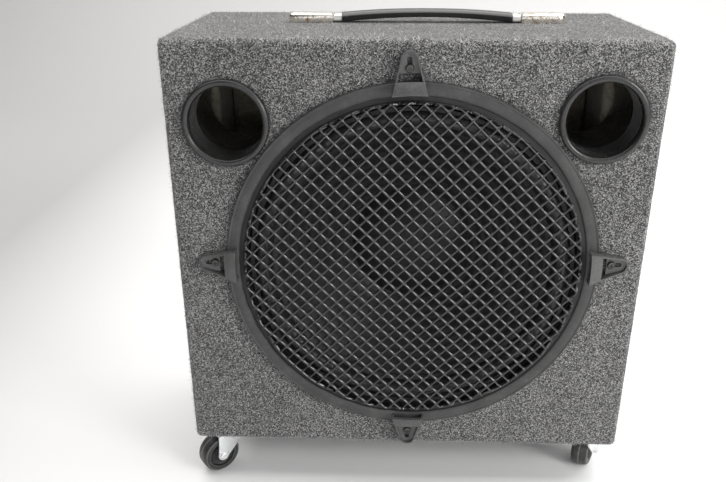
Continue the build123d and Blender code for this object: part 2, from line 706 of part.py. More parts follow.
def caster_plate(name):
    """Square mounting plate with the bearing cup pressed into it."""
    x, y = caster_axis(name)
    z = (BASE_Z - PLATE_THICK, BASE_Z)
    half = PLATE_SIZE / 2
    plate = block((-half, half), (-half, half), z)
    plate = fillet(plate.edges().filter_by(Axis.Z), 5.0)
    cup = Cone(17.0, 14.0, CUP_DEPTH, align=(Align.CENTER, Align.CENTER, Align.MIN))
    plate += Pos(0, 0, BASE_Z - PLATE_THICK) * Rot(180, 0, 0) * cup
    plate -= along_z(RIVET_RADIUS + CLEAR, 0, 0, (CROWN_TOP, BASE_Z + 1))
    for dx in (-PLATE_HOLES / 2, PLATE_HOLES / 2):
        for dy in (-PLATE_HOLES / 2, PLATE_HOLES / 2):
            plate -= along_z(WOOD_SCREW + 0.4, dx, dy, (BASE_Z - 10, BASE_Z + 1))
    return Pos(x, y, 0) * plate


def caster_rivet(name):
    """Swivel rivet: shank through the crown, domed head under it, peened top."""
    x, y = caster_axis(name)
    under = CROWN_TOP - FORK_SHEET - 0.3
    head = along_z(RIVET_HEAD, 0, 0, (under - 2.6, under))
    head = fillet(head.edges().sort_by(Axis.Z)[0], 2.0)
    rivet = head + along_z(RIVET_RADIUS, 0, 0, (under - 1, BASE_Z + 0.5))
    rivet += along_z(RIVET_RADIUS + 2.5, 0, 0, (BASE_Z + 0.3, BASE_Z + 3.0))
    return Pos(x, y, 0) * rivet


def fork(name):
    """Folded fork: flat crown and two legs that taper down to the axle."""
    leg_side = outline((-CROWN_FRONT, CROWN_TOP), (CROWN_BACK, CROWN_TOP), (TRAIL + FORK_EYE, WHEEL_RADIUS),
                       (TRAIL - 5.6, WHEEL_RADIUS - 3.2), (-CROWN_FRONT, CROWN_TOP - 5.0))
    leg_side += Pos(TRAIL, WHEEL_RADIUS) * Circle(FORK_EYE)
    leg_side -= Pos(TRAIL, WHEEL_RADIUS) * Circle(AXLE_RADIUS + CLEAR)
    outside = FORK_INSIDE + FORK_SHEET
    legs = [Pos(0, v, 0) * extrude(Plane.XZ * leg_side, amount=FORK_SHEET) for v in (outside, -FORK_INSIDE)]
    crown_z = (CROWN_TOP - FORK_SHEET, CROWN_TOP)
    crown = block((-CROWN_FRONT, CROWN_BACK), (-outside, outside), crown_z)
    folded = crown + legs
    folded = fillet(folded.edges().filter_by(Axis.X).group_by(Axis.Z)[-1], 1.6)
    folded -= along_z(RIVET_RADIUS + RUNNING, 0, 0, (CROWN_TOP - 5, CROWN_TOP + 1))
    return caster_frame(name) * folded


def hexagon_nut(across, height):
    return extrude(RegularPolygon(across / 2, 6, major_radius=False), height)


def axle(name):
    """Axle bolt with a domed head, and its nut."""
    outside = FORK_INSIDE + FORK_SHEET
    length = 2 * outside + 5.5
    head = Pos(0, 0, outside + 1.4) * Cylinder(5.2, 2.8)
    head = fillet(head.edges().sort_by(Axis.Z)[-1], 2.0)
    bolt = head + Pos(0, 0, outside - length / 2 + 0.5) * Cylinder(AXLE_RADIUS, length + 1)
    nut = Pos(0, 0, -outside - 4.5) * hexagon_nut(10.0, 4.5) - Cylinder(AXLE_RADIUS + 0.02, 60)
    place = caster_frame(name) * Pos(TRAIL, 0, WHEEL_RADIUS) * Rot(-90, 0, 0)
    return [place * bolt, place * nut]


def wheel(name):
    """Moulded wheel: rounded tread, rim, recessed web and long hub."""
    half = WHEEL_WIDTH / 2
    hub = FORK_INSIDE - 0.3
    bore = AXLE_RADIUS + RUNNING
    one_side = [
        (bore, hub), (7.5, hub), (8.0, half - 4.0), (WHEEL_RADIUS - 8.0, half - 3.5),
        (WHEEL_RADIUS - 7.2, half), (WHEEL_RADIUS - 4.0, half), (WHEEL_RADIUS - 1.6, half - 1.4),
        (WHEEL_RADIUS, half - 5.0)]
    other_side = [(radius, -across) for radius, across in reversed(one_side)]
    body = revolve(outline(*one_side, *other_side), Axis.Y, 360)
    return caster_frame(name) * Pos(TRAIL, 0, WHEEL_RADIUS) * body


def caster_screws():
    seat = BASE_Z - PLATE_THICK
    screw = Rot(180, 0, 0) * wood_screw(PLATE_THICK + SCREW_REACH - 1.0)
    return [Pos(x, y, seat) * screw for x, y in caster_screw_centres()]


# ---------------------------------------------------------------- input dish

def input_dish():
    """Recessed dish: screwed lip, four walls and a floor that carries the jacks."""
    half_w = DISH_WIDTH / 2 - 10.5
    half_t = DISH_TALL / 2 - 10.5
    floor_y = BACK_Y - DISH_RECESS
    lip = block((-DISH_WIDTH / 2, DISH_WIDTH / 2), (BACK_Y, BACK_Y + DISH_LIP),
                (DISH_Z - DISH_TALL / 2, DISH_Z + DISH_TALL / 2))
    lip = fillet(lip.edges().filter_by(Axis.Y), 6.0)
    tub = block((-half_w, half_w), (floor_y - DISH_FLOOR, BACK_Y + 0.5), (DISH_Z - half_t, DISH_Z + half_t))
    tub = fillet(tub.edges().filter_by(Axis.Y), 5.0)
    recess_x = half_w - DISH_WALL
    recess_z = half_t - DISH_WALL
    recess_y = (floor_y, BACK_Y + DISH_LIP + 1)
    recess = block((-recess_x, recess_x), recess_y, (DISH_Z - recess_z, DISH_Z + recess_z))
    recess = fillet(recess.edges().filter_by(Axis.Y), 3.0)
    dish = lip + tub - recess
    depth = CABINET_DEPTH - DISH_RECESS
    dish -= [along_y(JACK_BUSH + CLEAR, (depth - 6, depth + 1), x, DISH_Z) for x in JACKS.values()]
    screw_depth = (CABINET_DEPTH - 1, CABINET_DEPTH + DISH_LIP + 1)
    return dish - [along_y(WOOD_SCREW + 0.3, screw_depth, x, z) for x, z in dish_screw_centres()]


def jack(x):
    """Jack socket: body behind the floor, threaded bush and ring nut in front, blind bore."""
    floor = CABINET_DEPTH - DISH_RECESS
    mouth = floor + 7.0
    behind = floor - DISH_FLOOR
    body = Pos(x, FRONT_Y + behind - 12.0, DISH_Z) * Box(20, 24, 22)
    socket = body + along_y(JACK_BUSH, (behind - 1, mouth), x, DISH_Z)
    nut = Pos(x, FRONT_Y + floor + 3.0, DISH_Z) * Rot(90, 0, 0) * hexagon_nut(15.0, 3.0)
    return socket + nut - along_y(JACK_BORE, (mouth - JACK_DEPTH, mouth + 1), x, DISH_Z)


def dish_screws():
    screw = Rot(-90, 0, 0) * wood_screw(DISH_LIP + SCREW_REACH - 1.0, head_height=2.0)
    return [Pos(x, BACK_Y + DISH_LIP, z) * screw for x, z in dish_screw_centres()]


def internal_leads():
    """Two insulated leads from the input jack to the driver's terminal board."""
    leads = []
    tail_y = FRONT_Y + CABINET_DEPTH - DISH_RECESS - DISH_FLOOR - 24.0
    board_x = DRIVER_X + BOARD_RADIUS + 3.0 + LEAD_RADIUS + 0.2
    for dz in (-9, 9):
        start = (JACKS["jack_input"], tail_y - 0.1, DISH_Z + dz * 0.6)
        points = [start,
                  (start[0], tail_y - 16.0, start[2]),
                  (start[0] + 55.0, tail_y - 26.0, start[2] + 16.0),
                  (board_x - 18.0, tail_y - 34.0, start[2] + 50.0),
                  (board_x, tail_y - 62.0, start[2] + 82.0),
                  (board_x, FRONT_Y + 88.0, DRIVER_Z + dz - 26.0),
                  (board_x, FRONT_Y + 84.0, DRIVER_Z + dz)]
        leads.append(wire(points, [7.0, 16.0, 20.0, 20.0, 16.0], LEAD_RADIUS))
    return leads


# ---------------------------------------------------------------- output

def all_nodes():
    nodes = panels()
    nodes["carpet_cover"] = carpet_cover()
    nodes["damping_wadding"] = damping_wadding()
    nodes.update({name: port(*place) for name, place in PORTS.items()})
    makers = [driver_basket, driver_gasket, surround, cone, dust_cap, voice_coil_former]
    makers += [voice_coil_winding, spider, magnet_top_plate, magnet, pole_yoke, driver_terminals]
    makers += [tinsel_leads, driver_bolts, t_nuts, grille_mesh, grille_trim_ring, clamp_screws]
    makers += [handle_strap_core, handle_grip, handle_screws, caster_screws, input_dish, dish_screws]
    makers += [internal_leads]
    nodes.update({make.__name__: make() for make in makers})
    nodes.update({name: clamp(angle) for name, angle in CLAMP_ANGLES.items()})
    nodes["handle_end_left"] = handle_end(-1)
    nodes["handle_end_right"] = handle_end(1)
    nodes["caster_rivets"] = [caster_rivet(name) for name in CASTERS]
    for name in CASTERS:
        nodes[name + "_plate"] = caster_plate(name)
        nodes[name + "_fork"] = fork(name)
        nodes[name + "_axle"] = axle(name)
        nodes[name + "_wheel"] = wheel(name)
    nodes.update({name: jack(x) for name, x in JACKS.items()})
    return nodes


os.makedirs("parts", exist_ok=True)
for node, shape in all_nodes().items():
    solids = shape if isinstance(shape, list) else [shape]
    model = Compound(children=[s for item in solids for s in item.solids()])
    export_step(model, f"parts/{node}.step")
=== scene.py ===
"""Looks of the carpeted subwoofer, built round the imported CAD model. Lengths are in metres."""
import json
import math

import bmesh
import bpy
import numpy as np
from mathutils import Matrix, Vector, noise


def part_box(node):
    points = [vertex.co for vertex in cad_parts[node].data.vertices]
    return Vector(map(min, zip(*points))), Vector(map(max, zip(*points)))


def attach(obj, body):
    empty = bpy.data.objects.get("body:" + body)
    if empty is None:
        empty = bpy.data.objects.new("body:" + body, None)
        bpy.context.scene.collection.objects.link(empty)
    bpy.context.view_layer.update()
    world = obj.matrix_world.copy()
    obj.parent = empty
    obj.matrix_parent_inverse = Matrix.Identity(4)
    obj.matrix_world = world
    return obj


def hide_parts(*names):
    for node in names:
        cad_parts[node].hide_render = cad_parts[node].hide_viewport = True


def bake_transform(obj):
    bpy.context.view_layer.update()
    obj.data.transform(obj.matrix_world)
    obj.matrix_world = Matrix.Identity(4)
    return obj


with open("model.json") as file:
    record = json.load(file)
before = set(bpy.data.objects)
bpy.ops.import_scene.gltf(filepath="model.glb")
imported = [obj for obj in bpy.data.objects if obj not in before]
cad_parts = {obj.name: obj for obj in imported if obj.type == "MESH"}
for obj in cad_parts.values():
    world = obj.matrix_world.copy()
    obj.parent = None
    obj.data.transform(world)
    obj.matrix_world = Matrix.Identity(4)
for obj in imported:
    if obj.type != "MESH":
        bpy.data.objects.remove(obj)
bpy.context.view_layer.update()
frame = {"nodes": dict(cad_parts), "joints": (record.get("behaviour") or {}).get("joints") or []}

MM = 0.001
CABINET = "cabinet"
SKIN_LOW, SKIN_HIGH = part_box("carpet_cover")
RING_LOW, RING_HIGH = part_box("grille_trim_ring")
FRONT_Y = SKIN_LOW.y
DRIVER_X = (RING_LOW.x + RING_HIGH.x) / 2
DRIVER_Z = (RING_LOW.z + RING_HIGH.z) / 2
CORNERS = ("front_left", "front_right", "rear_left", "rear_right")

CAMERA_LENS = 37.5
CAMERA_SENSOR = 36.0
CAMERA_PLACE = (-0.0229, FRONT_Y - 0.7413, SKIN_LOW.z + 0.5724)
CAMERA_PITCH = 22.8         # degrees below level
CAMERA_TURN = 2.01

# Light: the directions are from the driver's middle to the lamp
WINDOW_DIRECTION = Vector((0.78, -0.55, 0.34))
WINDOW_DISTANCE = 2.2
WINDOW_SIZE = (0.75, 1.0)
WINDOW_WATTS = 33
WINDOW_COLOUR = (1.0, 0.995, 0.98)
FRONT_DIRECTION = Vector((0.36, -0.78, 0.62))
FRONT_DISTANCE = 2.9
FRONT_SIZE = (2.6, 1.2)
FRONT_WATTS = 15
FRONT_COLOUR = (0.97, 0.985, 1.0)
FILL_DIRECTION = Vector((-0.15, -1.0, 0.02))
FILL_DISTANCE = 2.6
FILL_SIZE = (3.0, 0.7)
FILL_WATTS = 15
FILL_COLOUR = (0.98, 0.99, 1.0)
CEILING_PLACE = (0.3, 1.1, 3.0)
CEILING_SIZE = (7.0, 4.0)
CEILING_WATTS = 285
CEILING_COLOUR = (1.0, 0.99, 0.975)
ROOM_LIGHT = 0.16
ROOM_COLOUR = (0.92, 0.95, 1.0, 1)

# Floor and the wall that it curves up into
FLOOR_REACH = 30.0
COVE_START = 1.8
COVE_RADIUS = 1.5
COVE_STEPS = 24
WALL_HEIGHT = 8.0


# ------------------------------------------------------------------ camera, floor and light

def make_camera():
    """A camera in front of the cabinet and above its top, a little left of its middle, looking down."""
    data = bpy.data.cameras.new("camera")
    data.lens = CAMERA_LENS
    data.sensor_width = CAMERA_SENSOR
    camera = bpy.data.objects.new("camera", data)
    bpy.context.scene.collection.objects.link(camera)
    camera.location = CAMERA_PLACE
    camera.rotation_euler = (math.radians(90 - CAMERA_PITCH), 0, math.radians(CAMERA_TURN))
    bpy.context.scene.camera = camera


def area_light(name, place, target, size, watts, colour):
    data = bpy.data.lights.new(name, "AREA")
    data.shape = "RECTANGLE"
    data.size, data.size_y = size
    data.energy = watts
    data.color = colour
    lamp = bpy.data.objects.new(name, data)
    bpy.context.scene.collection.objects.link(lamp)
    lamp.location = place
    lamp.rotation_euler = (Vector(target) - Vector(place)).to_track_quat("-Z", "Y").to_euler()


def make_light():
    """Soft daylight: a window to the right, a high front panel, a low front fill and a broad pale ceiling."""
    driver = Vector((DRIVER_X, FRONT_Y, DRIVER_Z))
    window = driver + WINDOW_DIRECTION.normalized() * WINDOW_DISTANCE
    area_light("window", window, driver, WINDOW_SIZE, WINDOW_WATTS, WINDOW_COLOUR)
    front = driver + FRONT_DIRECTION.normalized() * FRONT_DISTANCE
    area_light("front", front, driver, FRONT_SIZE, FRONT_WATTS, FRONT_COLOUR)
    fill = driver + FILL_DIRECTION.normalized() * FILL_DISTANCE
    area_light("fill", fill, Vector((driver.x, 0, 0)), FILL_SIZE, FILL_WATTS, FILL_COLOUR)
    below = (CEILING_PLACE[0], CEILING_PLACE[1], 0)
    area_light("ceiling", CEILING_PLACE, below, CEILING_SIZE, CEILING_WATTS, CEILING_COLOUR)
    world = bpy.data.worlds.new("room")
    world.use_nodes = True
    background = world.node_tree.nodes["Background"]
    background.inputs["Color"].default_value = ROOM_COLOUR
    background.inputs["Strength"].default_value = ROOM_LIGHT
    bpy.context.scene.world = world
    bpy.context.scene.view_settings.view_transform = "Standard"


# ------------------------------------------------------------------ node materials

def grey(value, warm=0.0):
    """Linear grey as a colour, a little warmer for a positive warm."""
    return (value * (1 + warm), value, value * (1 - warm), 1)


class Shade:
    """A node material under construction; sockets are named with _ for a space."""

    def __init__(self, name, **fixed):
        self.material = bpy.data.materials.new(name)
        self.material.use_nodes = True
        self.tree = self.material.node_tree
        self.surface = self.tree.nodes["Principled BSDF"]
        self.place = self.tree.nodes.new("ShaderNodeTexCoord").outputs["Object"]
        for socket, value in fixed.items():
            self.set(socket, value)

    def feed(self, socket, value):
        if isinstance(value, bpy.types.NodeSocket):
            self.tree.links.new(value, socket)
        else:
            socket.default_value = value

    def set(self, socket, value):
        self.feed(self.surface.inputs[socket.replace("_", " ")], value)

    def node(self, kind, **sockets):
        made = self.tree.nodes.new("ShaderNode" + kind)
        for socket, value in sockets.items():
            self.feed(made.inputs[socket.replace("_", " ")], value)
        return made

    def stretched(self, x, y, z):
        """The object's coordinates scaled along each axis, for grain that runs one way."""
        return self.node("Mapping", Vector=self.place, Scale=(x, y, z)).outputs[0]

    def noise(self, size, detail=2.0, roughness=0.5, distortion=0.0, place=None):
        """Noise with features of about this size."""
        made = self.node("TexNoise", Vector=place or self.place, Scale=1 / size, Detail=detail,
                         Roughness=roughness, Distortion=distortion)
        return made.outputs[0]

    def cells(self, size, place=None):
        """One random value for each cell of about this size."""
        made = self.node("TexVoronoi", Vector=place or self.place, Scale=1 / size)
        return self.node("SeparateColor", Color=made.outputs["Color"]).outputs[0]

    def math(self, operation, a, b=0.0, c=0.0):
        made = self.tree.nodes.new("ShaderNodeMath")
        made.operation = operation
        for socket, value in zip(made.inputs, (a, b, c)):
            self.feed(socket, value)
        return made.outputs[0]

    def span(self, value, low, high, to_low=0.0, to_high=1.0):
        """The value mapped from one range to another and kept inside it."""
        made = self.node("MapRange", Value=value, From_Min=low, From_Max=high, To_Min=to_low, To_Max=to_high)
        return made.outputs[0]

    def ramp(self, value, *stops):
        made = self.node("ValToRGB", Fac=value)
        elements = made.color_ramp.elements
        while len(elements) < len(stops):
            elements.new(0.5)
        for element, (position, colour) in zip(elements, stops):
            element.position = position
            element.color = colour
        return made.outputs[0]

    def mix(self, factor, a, b):
        made = self.tree.nodes.new("ShaderNodeMix")
        made.data_type = "RGBA"
        self.feed(made.inputs[0], factor)
        self.feed(made.inputs[6], a)
        self.feed(made.inputs[7], b)
        return made.outputs[2]

    def axes(self):
        """The three object coordinates."""
        split = self.tree.nodes.new("ShaderNodeSeparateXYZ")
        self.feed(split.inputs[0], self.place)
        return tuple(split.outputs)

    def facing_up(self):
        """1 where the surface faces up, 0 where it is upright or faces down."""
        normal = self.node("NewGeometry").outputs["Normal"]
        return self.math("MAXIMUM", self.node("SeparateXYZ", Vector=normal).outputs[2], 0.0)

    def bump(self, height, depth):
        """Relief of this depth on the surface normal, over any relief made before."""
        made = self.node("Bump", Height=height, Distance=depth)
        if self.surface.inputs["Normal"].is_linked:
            before = self.surface.inputs["Normal"].links[0].from_socket
            self.tree.links.new(before, made.inputs["Normal"])
        self.set("Normal", made.outputs[0])


def carpet_material():
    """Needle-felt carpet: salt-and-pepper flecks of curled fibre."""
    m = Shade("carpet_felt", Roughness=0.95, Specular_IOR_Level=0.15, Sheen_Weight=0.12, Sheen_Roughness=0.6)
    flecks = m.noise(1.3 * MM, 3.0, 0.75, 0.8)
    grains = m.cells(0.9 * MM)
    drift = m.noise(60 * MM, 2.0, 0.5)
    tone = m.math("MULTIPLY_ADD", grains, 0.42, m.math("MULTIPLY", flecks, 0.58))
    tone = m.math("MULTIPLY_ADD", m.math("SUBTRACT", drift, 0.5), 0.08, tone)
    m.set("Base_Color", m.ramp(tone, (0.26, grey(0.010)), (0.40, grey(0.034)), (0.54, grey(0.105, 0.008)),
                               (0.68, grey(0.30, 0.012)), (0.78, grey(0.48, 0.012))))
    m.bump(flecks, 0.9 * MM)
    m.bump(m.noise(0.6 * MM, 2.0), 0.3 * MM)
    return m.material


def fibre_material():
    """Loose carpet fibres, each its own shade of grey."""
    m = Shade("carpet_fibre", Roughness=0.9, Specular_IOR_Level=0.2, Sheen_Weight=0.2)
    own = m.node("NewGeometry").outputs["Random Per Island"]
    m.set("Base_Color", m.ramp(own, (0.0, grey(0.06)), (0.4, grey(0.22)), (0.75, grey(0.50)),
                               (1.0, grey(0.85, 0.02))))
    return m.material


def particle_board_material():
    m = Shade("particle_board", Roughness=0.8, Specular_IOR_Level=0.3)
    chips = m.cells(2.2 * MM, m.stretched(1.0, 0.6, 0.5))
    fine = m.noise(0.9 * MM, 3.0)
    tone = m.math("MULTIPLY_ADD", chips, 0.6, m.math("MULTIPLY", fine, 0.4))
    m.set("Base_Color", m.ramp(tone, (0.1, (0.16, 0.09, 0.045, 1)), (0.5, (0.40, 0.26, 0.14, 1)),
                               (0.9, (0.62, 0.46, 0.28, 1))))
    m.bump(chips, 0.15 * MM)
    return m.material


def wadding_material():
    m = Shade("polyester_wadding", Roughness=0.95, Specular_IOR_Level=0.1, Sheen_Weight=0.4)
    tufts = m.noise(14 * MM, 4.0, 0.6, 1.5)
    m.set("Base_Color", m.ramp(tufts, (0.3, (0.22, 0.19, 0.13, 1)), (0.7, (0.46, 0.43, 0.35, 1))))
    m.bump(m.noise(3 * MM, 4.0, 0.7, 1.2), 1.5 * MM)
    return m.material


def moulded(name, tone, roughness, grain=0.8 * MM, relief=0.04 * MM, dust=0.0, tint=0.0):
    """Moulded plastic or rubber: fine grain, patchy gloss and a little dust on what faces up."""
    m = Shade(name, Specular_IOR_Level=0.5)
    patches = m.noise(22 * MM, 4.0, 0.6)
    speck = m.noise(1.6 * MM, 3.0, 0.6)
    clean = m.mix(patches, grey(tone * 0.82, tint), grey(tone * 1.18, tint))
    settled = m.math("MULTIPLY", m.math("MULTIPLY_ADD", m.facing_up(), 0.7, 0.3), m.span(speck, 0.45, 0.75))
    m.set("Base_Color", m.mix(m.math("MULTIPLY", settled, dust), clean, grey(0.42, 0.04)))
    m.set("Roughness", m.span(patches, 0.3, 0.7, roughness - 0.07, roughness + 0.07))
    m.bump(m.noise(grain, 2.0), relief)
    return m.material


def trim_rubber_material():
    """Black rubber with a grey bloom and wiped streaks."""
    m = Shade("trim_rubber", Specular_IOR_Level=0.45)
    bloom = m.noise(30 * MM, 5.0, 0.62)
    streak = m.noise(5 * MM, 3.0, 0.6, 2.0)
    tone = m.math("MULTIPLY_ADD", streak, 0.35, m.math("MULTIPLY", bloom, 0.65))
    m.set("Base_Color", m.ramp(tone, (0.32, grey(0.022)), (0.5, grey(0.036)), (0.68, grey(0.070, 0.02))))
    m.set("Roughness", m.span(tone, 0.35, 0.65, 0.42, 0.6))
    m.bump(m.noise(1.1 * MM, 3.0), 0.05 * MM)
    m.bump(bloom, 0.6 * MM)
    return m.material


def grille_material():
    """Black powder coat: glossy, slightly dusty in patches, with a few bright chips."""
    m = Shade("grille_coat", Specular_IOR_Level=0.9)
    dust = m.noise(9 * MM, 4.0, 0.65)
    chips = m.noise(2.4 * MM, 2.0, 0.5)
    coat = m.ramp(dust, (0.35, grey(0.004)), (0.62, grey(0.009)), (0.8, grey(0.03, 0.02)))
    m.set("Base_Color", m.mix(m.span(chips, 0.76, 0.80), coat, grey(0.25)))
    m.set("Roughness", m.span(dust, 0.3, 0.7, 0.24, 0.36))
    m.bump(m.noise(0.7 * MM, 2.0), 0.03 * MM)
    return m.material


def paper(name, tone, fibre=1.4 * MM):
    """Pressed paper pulp: matt, mottled, with fine felt marks."""
    m = Shade(name, Specular_IOR_Level=0.35)
    pulp = m.noise(fibre, 4.0, 0.7, 0.6)
    cloud = m.noise(25 * MM, 3.0)
    value = m.math("MULTIPLY_ADD", cloud, 0.5, m.math("MULTIPLY", pulp, 0.5))
    m.set("Base_Color", m.ramp(value, (0.35, grey(tone * 0.7)), (0.65, grey(tone * 1.35))))
    m.set("Roughness", m.span(pulp, 0.3, 0.7, 0.36, 0.5))
    m.bump(pulp, 0.15 * MM)
    return m.material


def metal(name, colour, roughness, stain=None, stain_size=6 * MM, scratch=0.25):
    """Plated or bare metal: cloudy gloss, fine scratches and stains where the plate has gone."""
    m = Shade(name, Metallic=1.0)
    cloud = m.noise(12 * MM, 4.0, 0.6)
    lines = m.noise(0.5 * MM, 2.0, 0.6, 0.0, m.stretched(0.06, 1.0, 1.0))
    bright = m.mix(cloud, [c * 0.86 for c in colour] + [1], list(colour) + [1])
    if stain:
        spots = m.noise(stain_size, 4.0, 0.65)
        bright = m.mix(m.span(spots, 0.54, 0.66), bright, list(stain) + [1])
    m.set("Base_Color", bright)
    wear = m.math("MULTIPLY_ADD", lines, scratch, m.math("MULTIPLY", cloud, 0.15))
    m.set("Roughness", m.math("ADD", wear, roughness - 0.12))
    m.bump(lines, 0.02 * MM)
    return m.material


def woven(name, dark, light, thread=0.7 * MM):
    """Resin-dipped cloth: crossed threads."""
    m = Shade(name, Roughness=0.7)
    across = m.noise(thread, 1.0, 0.4, 0.0, m.stretched(1.0, 1.0, 0.15))
    along = m.noise(thread, 1.0, 0.4, 0.0, m.stretched(0.15, 1.0, 1.0))
    weave = m.math("MULTIPLY_ADD", across, 0.5, m.math("MULTIPLY", along, 0.5))
    m.set("Base_Color", m.ramp(weave, (0.4, dark), (0.6, light)))
    m.bump(weave, 0.2 * MM)
    return m.material


# Painted highlight and tread wear: where this vertex value is high, the wheels' moulded ridges and tread are
# painted lighter grey.
WEAR_AND_HIGHLIGHT = "wear_and_highlight"           # vertex value: 1 on the wheels' moulded lines


def wheel_material():
    """Hard black wheel: glossy web, with lighter grey painted on the tread and the moulded ridges: tread wear
    where it rolls, and painted highlight on the ridges.
    """
    m = Shade("wheel_plastic", Specular_IOR_Level=0.5)
    scuff = m.noise(4 * MM, 5.0, 0.7)
    plastic = m.ramp(scuff, (0.42, grey(0.010)), (0.62, grey(0.022)), (0.8, grey(0.10, 0.06)))
    wear_and_highlight = m.tree.nodes.new("ShaderNodeAttribute")
    wear_and_highlight.attribute_name = WEAR_AND_HIGHLIGHT
    # painted highlight on the marked ridges and tread wear: mixed toward light grey
    wear_and_highlight_amount = m.math("MULTIPLY", wear_and_highlight.outputs["Fac"], m.span(m.noise(9 * MM, 3.0), 0.25, 0.6, 0.35, 1.0))
    m.set("Base_Color", m.mix(wear_and_highlight_amount, plastic, grey(0.20, 0.03)))
    m.set("Roughness", m.span(scuff, 0.35, 0.7, 0.28, 0.6))
    m.bump(scuff, 0.12 * MM)
    return m.material


def floor_material():
    m = Shade("pale_floor", Roughness=0.75, Specular_IOR_Level=0.3)
    across, along, _ = m.axes()
    # Painted shade: the floor and the wall are darker to the left and lighter to the right, standing in for
    # the window light from the right.
    floor_painted_shade = m.mix(m.span(across, -0.85, -0.15), grey(0.34, 0.006), grey(0.84, 0.004))
    wall_painted_shade = m.mix(m.span(across, -2.4, 1.2), grey(0.30, 0.012), grey(0.56, 0.002))
    m.set("Base_Color", m.mix(m.span(along, 0.9, 2.6), floor_painted_shade, wall_painted_shade))
    return m.material


# ------------------------------------------------------------------ mesh helpers

def new_piece(name, mesh, material, body, nodes=()):
    """Link a mesh as a piece that rides on a body and stands for some CAD nodes."""
    piece = bpy.data.objects.new(name, mesh)
    bpy.context.scene.collection.objects.link(piece)
    mesh.materials.clear()
    mesh.materials.append(material)
    if body:
        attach(piece, body)
    if nodes:
        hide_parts(*nodes)
    return piece


SHARP = math.radians(40)    # faces that meet at more than this stay separate


def mesh_from(name, vertices, faces, sharp=SHARP):
    """Mesh with smooth faces that stays sharp over steep edges."""
    mesh = bpy.data.meshes.new(name)
    mesh.from_pydata(vertices, [], faces)
    mesh.validate()
    mesh.shade_smooth()
    mesh.set_sharp_from_angle(angle=sharp)
    return mesh


def lathe(name, profile, centre, axis, segments, sharp=SHARP):
    """Closed ring or wheel: the profile's (radius, distance along the axis) points turned about the axis."""
    axis = Vector(axis).normalized()
    side = axis.orthogonal().normalized()
    other = axis.cross(side)
    centre = Vector(centre)
    count = len(profile)
    vertices = []
    for i in range(segments):
        turn = 2 * math.pi * i / segments
        outward = side * math.cos(turn) + other * math.sin(turn)
        vertices += [centre + outward * r + axis * d for r, d in profile]
    faces = []
    for i in range(segments):
        here, there = i * count, (i + 1) % segments * count
        for j in range(count):
            k = (j + 1) % count
            faces.append((here + j, here + k, there + k, there + j))
    return mesh_from(name, vertices, faces, sharp)


def arc(centre, radius, start, stop, count):
    """Points (radius, distance) on an arc of a profile; angles in degrees."""
    angles = [math.radians(start + (stop - start) * i / count) for i in range(count + 1)]
    return [(centre[0] + radius * math.cos(a), centre[1] + radius * math.sin(a)) for a in angles]


def welded(node):
    """A copy of a CAD node's mesh with shared vertices and whole flat faces."""
    mesh = frame["nodes"][node].data.copy()
    for name in ("custom_normal", "sharp_face"):
        if name in mesh.attributes:
            mesh.attributes.remove(mesh.attributes[name])
    work = bmesh.new()
    work.from_mesh(mesh)
    bmesh.ops.remove_doubles(work, verts=work.verts, dist=1e-6)
    bmesh.ops.dissolve_limit(work, angle_limit=math.radians(1), verts=work.verts, edges=work.edges)
    work.to_mesh(mesh)
    work.free()
    return mesh


def eased(node, width, material, body):
    """A CAD node's shape with its sharp edges rounded off."""
    piece = new_piece(node + "_eased", welded(node), material, None)
    bevel = piece.modifiers.new("edges", "BEVEL")
    bevel.width = width
    bevel.segments = 3
    bevel.limit_method = "ANGLE"
    bevel.angle_limit = math.radians(38)
    bevel.use_clamp_overlap = True
    graph = bpy.context.evaluated_depsgraph_get()
    mesh = bpy.data.meshes.new_from_object(piece.evaluated_get(graph))
    piece.modifiers.clear()
    piece.data = mesh
    mesh.shade_smooth()
    mesh.set_sharp_from_angle(angle=math.radians(50))
    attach(piece, body)
    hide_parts(node)
    return piece


def paint(material, *nodes):
    """Give CAD nodes their finished material."""
    for node in nodes:
        data = frame["nodes"][node].data
        data.materials.clear()
        data.materials.append(material)


# ------------------------------------------------------------------ carpet

CARPET_EDGE = 7 * MM        # rounding of the carpeted edges
CARPET_THICK = 2.8 * MM
CARPET_CELL = 7 * MM
RING_OPENING = 193.5 * MM   # radius, hidden under the trim ring
PORT_OPENING = 40.5 * MM
DISH_INSET = 8 * MM         # the dish's rim covers this much carpet

# Loose fibres; lengths in millimetres
FIBRE_COUNT = 30000
FIBRE_SEED = 7
FIBRE_LENGTH = (2.0, 5.5)
FIBRE_HALF_WIDTH = (0.07, 0.12)
FIBRE_RISE = (2.4, 0.42)    # shape and scale of a gamma spread
FIBRE_CURL = 0.35
FIBRE_STATIONS = ((0.0, -0.3), (0.5, 1.0), (1.0, 0.8))      # share of the length, share of the rise
EDGE_FIBRES = 16.0          # how much denser they are on the rounded edges
BOTTOM_FIBRES = 0.3


def grid_lines(low, high):
    """Grid lines between two values: close together over the rounded edges, then even."""
    edge = [CARPET_EDGE * i / 5 for i in range(5)]
    count = round((high - low - 2 * CARPET_EDGE) / CARPET_CELL)
    inside = [low + CARPET_EDGE + (high - low - 2 * CARPET_EDGE) * i / count for i in range(count + 1)]
    return [low + e for e in edge] + inside + [high - e for e in reversed(edge)]


def carpet_openings():
    """Round openings in the front: centre x, centre z and radius."""
    openings = [(DRIVER_X, DRIVER_Z, RING_OPENING)]
    for name in ("left_port", "right_port"):
        low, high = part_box(name)
        openings.append(((low.x + high.x) / 2, (low.z + high.z) / 2, PORT_OPENING))
    return openings


def rounded_to_box(point):
    """A point on the sharp box moved onto the box with rounded edges."""
    spans = zip(point, SKIN_LOW, SKIN_HIGH)
    inner = Vector([min(max(p, low + CARPET_EDGE), high - CARPET_EDGE) for p, low, high in spans])
    return inner + (Vector(point) - inner).normalized() * CARPET_EDGE


